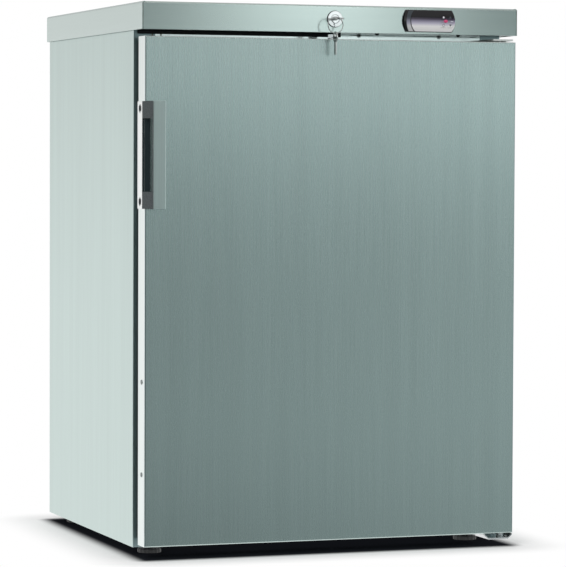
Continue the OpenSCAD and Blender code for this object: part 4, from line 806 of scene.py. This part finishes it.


# A black rubber strip lies under the tray against the rail behind it, from the left end to just past
# the lock: painted shade that darkens the gap over the door there. It is 2.3 mm thick and 5.7 mm
# high. Rubber: dead matt black, a little paler at edges.
seal_rubber = moulded("Black_natural_rubber", "1B2023", 0.6, 1.52, 1.1, 0.2)
rail_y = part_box("top_panel")[0].y
tray_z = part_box("control_tray")[0].z
section = [(0, -0.0057), (-0.0015, -0.0057), (-0.0023, -0.0048), (-0.0023, -0.0008),
           (-0.0017, 0), (0, 0)]
strip = bmesh.new()
bridge(strip, [[(x, rail_y + y, tray_z + z) for y, z in section] for x in (-0.29, 0.032)])
place_piece("Tray_painted_shade_strip", plain_mesh(strip, "Tray_painted_shade_strip", seal_rubber), "cabinet", "black_rubber")

# ---- Screws ----
# Pan-head screws of blackened steel with a cross recess: four under the control tray, two in
# the upper hinge bracket and two countersunk ones in the handle's plate.
# Blackened steel: near black, with a dull gleam on the heads' crowns.
black_screw = metal("Blackened_screw_steel", "2B2D2E", 0.4, 0.06, 1.5)
sizes = {"Head radius": 0.0034, "Head height": 0.0022, "Slot width": 0.0009, "Slot depth": 0.0012,
         "Shank radius": 0.0014, "Shank length": 0.001, "Crown": -0.38}


def lathed(tree, radius, height, sides, rows, profile):
    """An upright blank in rows, narrowed at each point by what profile makes of its place."""
    blank = add(tree, "GeometryNodeMeshCylinder", {
        "Vertices": sides, "Side Segments": rows, "Radius": radius, "Depth": height})
    here = add(tree, "GeometryNodeInputPosition")
    split = add(tree, "ShaderNodeSeparateXYZ", {0: here})
    level_up = add(tree, "ShaderNodeMath", {0: split.outputs["Z"], 1: height}, operation="DIVIDE")
    share = profile(split, level_up)
    shrink = add(tree, "ShaderNodeCombineXYZ", {"X": share, "Y": share, "Z": 1.0})
    spot = add(tree, "ShaderNodeVectorMath", {0: here, 1: shrink}, operation="MULTIPLY")
    return add(tree, "GeometryNodeSetPosition", {"Geometry": blank, "Position": spot})


tree, size = sized_tree("Pan_head_screw_maker", sizes)


def dome(split, level_up):
    """Narrows a screw's head towards its crown."""
    level_up = add(tree, "ShaderNodeMath", {0: level_up, 1: 0.5}, operation="ADD")
    power = add(tree, "ShaderNodeMath", {0: level_up, 1: 3.0}, operation="POWER")
    return add(tree, "ShaderNodeMath", {0: power, 1: size["Crown"], 2: 1.0},
               operation="MULTIPLY_ADD")


head_form = lathed(tree, size["Head radius"], size["Head height"], 28, 6, dome)
reach = add(tree, "ShaderNodeMath", {0: size["Head radius"], 1: 1.1}, operation="MULTIPLY")
depth = add(tree, "ShaderNodeMath", {0: size["Slot depth"], 1: 2.0}, operation="MULTIPLY")
rise_by = add(tree, "ShaderNodeMath", {0: size["Head height"], 1: 0.5}, operation="MULTIPLY")
bars = []
for turned in (False, True):
    bar = add(tree, "ShaderNodeCombineXYZ", {
        "X": size["Slot width"] if turned else reach, "Y": reach if turned else size["Slot width"],
        "Z": depth})
    bar = add(tree, "GeometryNodeMeshCube", {"Size": bar})
    bars.append(moved(tree, bar, z=rise_by))
cut = add(tree, "GeometryNodeMeshBoolean", {"Mesh 1": head_form, "Mesh 2": bars},
          operation="DIFFERENCE")
under = add(tree, "ShaderNodeMath", {0: size["Shank length"], 1: size["Head height"]},
            operation="ADD")
under = add(tree, "ShaderNodeMath", {0: under, 1: -0.5}, operation="MULTIPLY")
shank = rod(tree, size["Shank radius"], size["Shank length"], 16, z=under)
screw_form = add(tree, "GeometryNodeJoinGeometry", {0: [cut, shank]})
seat = moved(tree, screw_form, z=rise_by)
facing = add(tree, "GeometryNodeInputNormal")
align = add(tree, "FunctionNodeAlignRotationToVector", {"Vector": facing}, axis="Z")
turned = add(tree, "GeometryNodeStoreNamedAttribute", {
    "Geometry": size["Geometry"], "Name": "stand", "Value": align}, data_type="QUATERNION",
    domain="FACE")
placed = add(tree, "GeometryNodeMeshToPoints", {"Mesh": turned}, mode="FACES")
kept = add(tree, "GeometryNodeInputNamedAttribute", {"Name": "stand"}, data_type="QUATERNION")
screws = add(tree, "GeometryNodeInstanceOnPoints", {
    "Points": placed, "Instance": seat, "Rotation": kept})
close_tree(tree, screws, size)
screw_maker, screw_sizes = tree, sizes


def seats(name, places, facing):
    """Small triangles, one in the middle of each screw's seat, facing out of it."""
    mesh = bpy.data.meshes.new(name)
    facing = Vector(facing)
    side = facing.orthogonal().normalized() * 0.001
    other = facing.cross(side)
    points, faces = [], []
    for place in places:
        centre = Vector(place)
        faces.append(list(range(len(points), len(points) + 3)))
        points += [centre + side * math.cos(a) + other * math.sin(a)
                   for a in (0, math.tau / 3, 2 * math.tau / 3)]
    mesh.from_pydata(points, [], faces)
    return mesh


def islands(node):
    """The low and high corner of each separate solid of a CAD node, in a fixed order."""
    shape = bmesh.new()
    shape.from_mesh(welded(node, 0))
    left, found = set(shape.verts), []
    while left:
        group, todo = [], [left.pop()]
        while todo:
            vert = todo.pop()
            group.append(vert.co.copy())
            for edge in vert.link_edges:
                other = edge.other_vert(vert)
                if other in left:
                    left.discard(other)
                    todo.append(other)
        low = Vector([min(p[k] for p in group) for k in range(3)])
        high = Vector([max(p[k] for p in group) for k in range(3)])
        found.append((low, high))
    shape.free()
    return sorted(found, key=lambda corners: tuple(corners[0]))


under_tray, on_bracket = [], []
for low, high in islands("cabinet_screws"):
    centre = (low + high) / 2
    if high.z - low.z < high.y - low.y or centre.x > 0.25:
        on_bracket.append((centre.x, high.y - 0.0025, centre.z))
    else:
        under_tray.append((centre.x, centre.y, high.z - 0.001))
cabinet_screws = bmesh.new()
small_heads = {"Head radius": 0.0032, "Head height": 0.002, "Shank radius": 0.0019,
               "Shank length": 0.0024}
for name, places, facing, size_now in (("Tray_screws", under_tray, (0, 0, -1), {}),
                                       ("Bracket_screws", on_bracket, (0, -1, 0), small_heads)):
    cabinet_screws.from_mesh(grow(name, screw_maker, dict(screw_sizes, **size_now), black_screw,
                                  seats(name + "_seats", places, facing), 30))
mesh = bpy.data.meshes.new("Cabinet_screws")
cabinet_screws.to_mesh(mesh)
cabinet_screws.free()
mesh.materials.append(black_screw)
mesh.set_sharp_from_angle(angle=math.radians(30))
place_piece("Cabinet_screws", mesh, "cabinet", slot_of["cabinet_screws"], "cabinet_screws")

# ---- Controller ----
# A black moulded case clipped through the skirt. Its front is a curved lens of clear acrylic over a
# printed film, with four keys let into it and one indicator lamp between them. The film's fade from
# black to pale is a painted reflection.
# ABS: black, with the satin of a textured mould on the case and a piano polish on the bezel.
case_black = moulded("Black_moulded_ABS", "141516", 0.45, 1.53)
dress("controller_housing", case_black, 0.0006)
gloss_black = moulded("Polished_black_ABS", "0B0B0D", 0.12, 1.53, 0.7, 0.02, 0.02, 0.3)
dress("controller_bezel", gloss_black, 0.0003)
bezel_low, bezel_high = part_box("controller_bezel")
film_x, film_z = (bezel_low.x + bezel_high.x) / 2, (bezel_low.z + bezel_high.z) / 2
film_half = (bezel_high.z - bezel_low.z) / 2

# The film's colour fades from black at its head to pale lilac at its foot: a painted reflection of
# the curved lens. A black border and a dark arc follow its curved left end, and between them the film
# is greyer. The lens over it is polished acrylic, which adds one soft highlight.
border_r, arc_r, arc_half = 0.0266, 0.0202, 0.0007
lens_with_painted_reflection = bpy.data.materials.new("Acrylic_lens_with_painted_reflection")
tree = open_tree(lens_with_painted_reflection)
place = add(tree, "ShaderNodeTexCoord")
spot = add(tree, "ShaderNodeSeparateXYZ", {0: place.outputs["Object"]})
fade = add(tree, "ShaderNodeMapRange", {
    "Value": spot.outputs["Z"], "From Min": film_z - film_half * 0.9,
    "From Max": film_z + film_half * 0.72})
painted_reflection_tone = add(tree, "ShaderNodeValToRGB", {"Fac": fade})
set_ramp(painted_reflection_tone, [(place_at, linear(code)) for place_at, code in (
    (0.0, "FFFFFF"), (0.27, "FFFFFF"), (0.42, "C9C6D8"), (0.55, "8B879C"), (0.66, "453F50"),
    (0.78, "0C0B10"))])
arc_x = film_x - 0.01075
from_arc = add(tree, "ShaderNodeVectorMath", {0: place.outputs["Object"], 1: (arc_x, 0, film_z)},
               operation="SUBTRACT")
from_arc = add(tree, "ShaderNodeVectorMath", {0: from_arc, 1: (1, 0, 1)}, operation="MULTIPLY")
reach = add(tree, "ShaderNodeVectorMath", {0: from_arc}, operation="LENGTH")
border = add(tree, "ShaderNodeMapRange", {
    "Value": reach.outputs["Value"], "From Min": border_r, "From Max": border_r + 0.0008})
line = add(tree, "ShaderNodeMath", {0: reach.outputs["Value"], 1: arc_r, 2: arc_half},
           operation="COMPARE")
lefthand = add(tree, "ShaderNodeMath", {0: spot.outputs["X"], 1: arc_x}, operation="LESS_THAN")
dark = add(tree, "ShaderNodeMath", {0: border, 1: line}, operation="MAXIMUM")
dark = add(tree, "ShaderNodeMath", {0: dark, 1: lefthand}, operation="MULTIPLY")
strip = add(tree, "ShaderNodeMapRange", {
    "Value": reach.outputs["Value"], "From Min": arc_r + 0.0004, "From Max": arc_r + 0.0007,
    "To Min": 0.0, "To Max": 0.35})
strip = add(tree, "ShaderNodeMath", {0: strip, 1: lefthand}, operation="MULTIPLY")
greyed = add(tree, "ShaderNodeMix", {"Factor": strip, "A": painted_reflection_tone, "B": linear("56646C")},
             data_type="RGBA")
tone = add(tree, "ShaderNodeMix", {
    "Factor": dark, "A": greyed.outputs["Result"], "B": linear("08080A")}, data_type="RGBA")
grain = add(tree, "ShaderNodeTexNoise", {"Vector": place.outputs["Object"], "Scale": 300.0})
smear = add(tree, "ShaderNodeMapRange", {"Value": grain, "To Min": 0.06, "To Max": 0.12})
gloss = add(tree, "ShaderNodeBsdfPrincipled", {
    "Base Color": tone.outputs["Result"], "Roughness": smear, "IOR": 1.49})
add(tree, "ShaderNodeOutputMaterial", {"Surface": gloss})
dress("display_window", lens_with_painted_reflection, 0.0002)
for key in ("button_up", "button_down", "button_set", "button_power"):
    dress(key, lens_with_painted_reflection, 0.0003)

# Marks pad-printed on the keys: two arrowheads, a dot and an open ring with a bar. Each stands
# 0.1 mm proud of the curved face, and moves with its key. The ink is flat white or slate grey.
pad_print = moulded("White_pad_print", "EDEEF4", 0.35, 1.49, 0.7)
slate_print = moulded("Slate_pad_print", "3B434C", 0.35, 1.49, 0.7)
lens_low, lens_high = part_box("display_window")
lens_rise = bezel_low.y - lens_low.y
lens_half = (lens_high.z - lens_low.z) / 2
lens_r = (lens_half ** 2 + lens_rise ** 2) / (2 * lens_rise)


def on_lens(z):
    """How far back the curved face lies at a height."""
    return lens_low.y + lens_r - math.sqrt(lens_r ** 2 - (z - film_z) ** 2)


def printed_mark(name, body, strokes, ink):
    """A thin raised mark on the curved face, made of strokes given as outlines in x and z."""
    shape = bmesh.new()
    for outline in strokes:
        bridge(shape, [[(x, on_lens(z) - proud, z) for x, z in outline] for proud in (0, 0.0001)])
    place_piece(name, plain_mesh(shape, name, ink), body, "display_tint")


def middle(node):
    """The middle of a node, in x and z."""
    low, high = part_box(node)
    return (low.x + high.x) / 2, (low.z + high.z) / 2


def on_circle(x, z, r, turn):
    """A point on a circle, a turn in radians clockwise from its top."""
    return x + r * math.sin(turn), z + r * math.cos(turn)


def block(x, z, half_width, low, high):
    """A rectangle's outline."""
    return [(x - half_width, z + low), (x + half_width, z + low), (x + half_width, z + high),
            (x - half_width, z + high)]


def mark_key(key, outlines, ink):
    """Prints a mark on a key, which it then moves with."""
    printed_mark(key + "_mark", frame["nodes"][key]["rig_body"], outlines, ink)


for key, sign in (("button_up", 1), ("button_down", -1)):
    x, z = middle(key)
    mark_key(key, [[(x - 0.0022, z - sign * 0.0014), (x + 0.0022, z - sign * 0.0014),
                    (x, z + sign * 0.0018)]], slate_print)
x, z = middle("button_set")
dot_r, dot_steps = 0.0015, 16
mark_key("button_set", [[(x + dot_r * math.cos(k * math.tau / dot_steps),
                          z + dot_r * math.sin(k * math.tau / dot_steps))
                         for k in range(dot_steps)]], pad_print)
# The open ring starts 0.6 radians past its top and ends as far before it.
x, z = middle("button_power")
ring_out, ring_in, ring_gap, ring_steps = 0.0022, 0.0017, 0.6, 20
turns = [ring_gap + k * (math.tau - 2 * ring_gap) / ring_steps for k in range(ring_steps + 1)]
ring_outlines = [[on_circle(x, z, ring_out, a), on_circle(x, z, ring_out, b),
                  on_circle(x, z, ring_in, b), on_circle(x, z, ring_in, a)]
                 for a, b in zip(turns, turns[1:])]
mark_key("button_power", ring_outlines + [block(x, z, 0.0003, 0.0006, 0.0026)], slate_print)
dash = block(film_x + 0.0365, film_z, 0.002, -0.0004, 0.0004)
printed_mark("Controller_dash_mark", "cabinet", [dash], pad_print)

# The indicator is a diode in a rose-tinted epoxy lens, oval, glossy and slightly proud.
indicator_x, indicator_z = film_x + 0.0262, film_z + 0.0002
lamp_epoxy = moulded("Rose_tinted_epoxy", "E0487C", 0.15, 1.55, 0.7, 0.02, 0.02, 0.5)
shape = bmesh.new()
bmesh.ops.create_uvsphere(shape, u_segments=28, v_segments=14, radius=1.0)
oval = Matrix.Diagonal((0.0034, 0.0008, 0.0023, 1))
bmesh.ops.transform(shape, verts=shape.verts, matrix=Matrix.Translation(
    (indicator_x, on_lens(indicator_z), indicator_z)) @ oval)
mesh = plain_mesh(shape, "Indicator_lens", lamp_epoxy)
mesh.shade_smooth()
place_piece("Indicator_lens", mesh, "cabinet", "display_tint")

# ---- Lock and keys ----
# A die-cast zinc cam lock, chromed, held by a nut behind the skirt. A flat nickel-plated key
# stands in it, and a second one hangs from a split ring of spring wire.
# Chromium on a zinc casting: bright and mirror-like, with dark edges where it turns away.
lock_chrome = metal("Chromed_zinc_casting", "D2D4D4", 0.12, 0.02, 2, 0.02)
dress("lock_housing", lock_chrome, 0.0008, segments=3)
dress("lock_plug", lock_chrome, 0.0004)
# A thin ring of black rubber all round the lock's flange draws its dark outline: painted shade.
lock_x, lock_z = middle("lock_housing")
outline_steps, ring = 64, bmesh.new()
section = [(0.01200, 0.0), (0.01265, 0.0), (0.01265, 0.0005), (0.01245, 0.0008), (0.01200, 0.0008)]
bridge(ring, [
    [(lock_x + r * math.cos(a), bezel_high.y - out, lock_z + r * math.sin(a)) for r, out in section]
    for a in (k * math.tau / outline_steps for k in range(outline_steps))], loop=True)
place_piece("Lock_painted_shade_ring", plain_mesh(ring, "Lock_painted_shade_ring", seal_rubber), "cabinet", "black_rubber")
# Nickel plate: warmer and softer in its shine than chromium.
key_steel = metal("Nickel_plated_key_steel", "C4C6C4", 0.2, 0.03, 1.6, 0.03)
for node, width in (("key_in_lock", 0.0003), ("key_ring", 0), ("spare_key", 0.0003)):
    dress(node, key_steel, width)
# Bright zinc plate: cooler and shinier than the hot-dip sheet, with a faint mottle.
bright_zinc = metal("Bright_zinc_plate", "D3D6D7", 0.25, 0.05, 8)
dress("lock_cam", bright_zinc, 0.0002)
dress("lock_striker", bright_zinc, 0.0002)

# ---- Hinges ----
# Pressed steel brackets with riveted pins, which turn in moulded bushes pushed into the ends of
# the door. The lower bracket is zinc plated and the upper one, which shows, is powder coated.
# Powder coat: pale grey and satin, with a faint orange peel.
pale_powder = moulded("Pale_powder_coat", "E2E7E5", 0.5, 1.5, 0.9, 0.1)
dress("upper_hinge_bracket", pale_powder, 0.0003)
dress("lower_hinge_bracket", bright_zinc, 0.0003)
dress("hinge_bushes", motor_black, 0.0003)

# ---- Door ----
# A folded stainless pan, brushed up and down on its face, with its sides and top painted paler as
# painted light.
# It is foamed behind, with a white vacuum-formed inner panel and a magnetic gasket.
# A long, straight grain spreads the room's reflection from side to side and leaves its heights.
door_steel = brushed_steel("Brushed_stainless_door", "C6D6D3", 1.5, 0.26, 0.83)
# The door's sides and top take a near-white copy of the steel: painted light.
painted_light_steel = brushed_steel("Stainless_paled_as_painted_light", "F1F8F6", 3.0, 0.34, 0.3, 0.02)
skin = dress("door_skin", door_steel, 0.0003, run="z")
repaint(skin, painted_light_steel, lambda n: abs(n.x) > 0.9 or n.z > 0.5)
# The part-turned bends take the darker copy of the steel: painted shade along the folds.
repaint(skin, painted_shade_steel, lambda n: 0.15 < abs(n.x) <= 0.9 and n.z <= 0.5)
dress("door_foam", foam, 0)
dress("door_liner", liner_white, 0.0012, segments=3)
# Extruded PVC: flexible, dark grey and matt.
gasket_rubber = moulded("Extruded_dark_grey_PVC", "262C2F", 0.6, 1.53, 1.1, 0.1)
dress("door_gasket", gasket_rubber, 0.0006)

# ---- Handle ----
# A flat plate screwed to the door's edge, two moulded legs that reach round to the front, and a
# brushed grip strip that bridges them. The plate's front edge and the strip's back and left edge take
# the legs' dark grey as painted shade.
# Glass-filled nylon in slate grey: satin, with a fine spark-eroded texture.
leg_grey = moulded("Slate_grey_moulded_nylon", "2F3A3D", 0.28, 1.3, 0.6)
# The plate is steel painted almost white, with the softest of shines: painted light.
painted_light_plate = brushed_steel("Handle_plate_paled_as_painted_light", "FBFDFC", 1.2, 0.34, 0.3, 0.01)
# The plate's front edge takes the dark grey: painted shade in the finger opening.
repaint(dress("handle_side_plate", painted_light_plate, 0.0003, run="z"), leg_grey, lambda n: n.y < -0.7)
dress("handle_legs", leg_grey, 0.0006)
# The grip's short brushing spreads light almost evenly, so it stays a plain mid grey.
grip_steel = brushed_steel("Satin_brushed_grip", "CFDDDA", 1.2, 0.4, 0.4)
# The grip's back and left edge take the dark grey: painted shade.
repaint(dress("handle_grip", grip_steel, 0.0006, run="z"), leg_grey,
        lambda n: n.x < -0.7 or n.y > 0.7)
plate_seats = [(low.x + 0.0014, (low.y + high.y) / 2, (low.z + high.z) / 2)
               for low, high in islands("handle_screws")]
mesh = grow("Handle_screws", screw_maker, dict(screw_sizes, **{
    "Head radius": 0.0048, "Head height": 0.0013, "Slot width": 0.0011, "Slot depth": 0.0008,
    "Shank radius": 0.0023, "Shank length": 0.012}), black_screw,
    seats("Handle_screw_seats", plate_seats, (-1, 0, 0)), 30)
place_piece("Handle_screws", mesh, "door", slot_of["handle_screws"], "handle_screws")
# Polyethylene: mid grey, waxy and soft-edged.
plug_grey = moulded("Grey_polyethylene_plug", "8D9494", 0.4, 1.51)
dress("handle_hole_plugs", plug_grey, 0.0002)

# ---- Compressor ----
# A hermetic compressor in two deep-drawn half shells, welded together and enamelled black.
# It stands on four rubber mounts in the machine bay.
# Stoved enamel: deep black, with a lazy ripple 4 mm long in its gloss.
enamel = moulded("Black_stoved_enamel", "0F1011", 0.3, 1.5, 4, 0.15)
dress("compressor", enamel, 0.0006)
dress("compressor_mounts", seal_rubber, 0.0008)
dress("terminal_box", case_black, 0.0008)

# ---- Condenser and pipes ----
# One long steel tube bent to and fro across the back, with wires spot-welded over both of its
# sides, all enamelled black. Copper pipes join it to the compressor through a filter drier.
cond_low, cond_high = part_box("condenser")
tube_r, cond_wire, runs, wire_pitch, wire_over = 0.0025, 0.0008, 11, 0.014, 0.012
cond_pitch = (cond_high.z - cond_low.z - 2 * wire_over) / (runs - 1)
cond_y = (cond_low.y + cond_high.y) / 2
tree, size, tube = serpentine("Condenser_coil_maker")
across = cond_high.x - tube_r - 0.0001
wires_out = int((across - cond_pitch / 2 - 0.016) / wire_pitch)
height = add(tree, "ShaderNodeMath", {0: size["Runs"], 1: -1.0}, operation="ADD")
height = add(tree, "ShaderNodeMath", {0: height, 1: size["Pitch"]}, operation="MULTIPLY")
length = add(tree, "ShaderNodeMath", {0: height, 1: 2 * wire_over}, operation="ADD")
centre = add(tree, "ShaderNodeMath", {0: height, 1: 0.5, 2: size["First height"]},
             operation="MULTIPLY_ADD")
wires = row_of(tree, rod(tree, cond_wire, length, 8), 2 * wires_out + 1,
               (-wires_out * wire_pitch, 0, 0), (wire_pitch, 0, 0))
layers = [tube]
for way in (-1, 1):
    beside = add(tree, "ShaderNodeMath", {0: size["Depth"], 1: way * (tube_r + cond_wire)},
                 operation="ADD")
    layers.append(moved(tree, wires, y=beside, z=centre))
close_tree(tree, add(tree, "GeometryNodeJoinGeometry", {0: layers}), size)
coil = grow("Condenser_coil", tree, {"Half width": across, "First height": cond_low.z + wire_over,
                                     "Pitch": cond_pitch, "Runs": runs, "Tube radius": tube_r,
                                     "Depth": cond_y, "Flatness": 1.0}, enamel)
place_piece("Condenser_coil", coil, "cabinet", slot_of["condenser"], "condenser")
dress("condenser_clips", motor_black, 0.0004)
# Drawn copper: salmon and shiny, dulled in patches a few millimetres wide by handling.
copper = metal("Drawn_copper", "C98A6B", 0.25, 0.08, 7)
dress("refrigerant_pipes", copper, 0, angle=50)
dress("filter_drier", copper, 0, angle=40)
dress("condensate_drain", motor_black, 0.0005)
dress("power_inlet", case_black, 0.0005)
dress("rear_spacers", motor_black, 0.0008)

# ---- Feet ----
# Threaded steel sockets with a nut under the base, and moulded black feet on M10 studs that
# screw in and out. Each foot's rim has finger grips all round.
dress("foot_sockets", bright_zinc, 0.0003)
# Polyamide: near black and satin, a shade paler on the ribs.
foot_black = moulded("Black_moulded_polyamide", "191A1B", 0.48, 1.53)
sizes = {"Pad radius": 0.018, "Pad height": 0.007, "Grips": 16, "Grip depth": 0.0009,
         "Stud radius": 0.005, "Stud length": 0.016, "Place x": 0.0, "Place y": 0.0}
tree, size = sized_tree("Levelling_foot_maker", sizes)


def ribbed(split, level_up):
    """Waves a foot's rim in and out, and narrows it above its middle."""
    around = add(tree, "ShaderNodeMath", {0: split.outputs["Y"], 1: split.outputs["X"]},
                 operation="ARCTAN2")
    wave = add(tree, "ShaderNodeMath", {0: around, 1: size["Grips"]}, operation="MULTIPLY")
    wave = add(tree, "ShaderNodeMath", {0: wave}, operation="COSINE")
    wave = add(tree, "ShaderNodeMath", {0: wave, 1: 0.5, 2: -0.5}, operation="MULTIPLY_ADD")
    share = add(tree, "ShaderNodeMath", {0: size["Grip depth"], 1: size["Pad radius"]},
                operation="DIVIDE")
    wave = add(tree, "ShaderNodeMath", {0: wave, 1: share, 2: 1.0}, operation="MULTIPLY_ADD")
    shoulder = add(tree, "ShaderNodeMapRange", {
        "Value": level_up, "From Min": 0.2, "From Max": 0.5, "To Min": 1.0, "To Max": 0.89},
        interpolation_type="SMOOTHSTEP")
    return add(tree, "ShaderNodeMath", {0: wave, 1: shoulder}, operation="MULTIPLY")


pad = lathed(tree, size["Pad radius"], size["Pad height"], 96, 7, ribbed)
half = add(tree, "ShaderNodeMath", {0: size["Pad height"], 1: 0.5}, operation="MULTIPLY")
pad = moved(tree, pad, z=half)
half = add(tree, "ShaderNodeMath", {0: size["Stud length"], 1: 0.5, 2: size["Pad height"]},
           operation="MULTIPLY_ADD")
stud = rod(tree, size["Stud radius"], size["Stud length"], 32, z=half)
foot = add(tree, "GeometryNodeJoinGeometry", {0: [pad, stud]})
foot = moved(tree, foot, x=size["Place x"], y=size["Place y"])
close_tree(tree, foot, size)
for node in ("foot_front_left", "foot_front_right", "foot_rear_left", "foot_rear_right"):
    low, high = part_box(node)
    mesh = grow(node + "_finished", tree, dict(sizes, **{
        "Stud length": high.z - sizes["Pad height"], "Place x": (low.x + high.x) / 2,
        "Place y": (low.y + high.y) / 2}), foot_black)
    place_piece(node + "_finished", mesh, frame["nodes"][node]["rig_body"], slot_of[node], node)

# ---- Finish ----
# Colours are shown as they are written, without a film curve.
view = bpy.context.scene.view_settings
view.view_transform = "Standard"
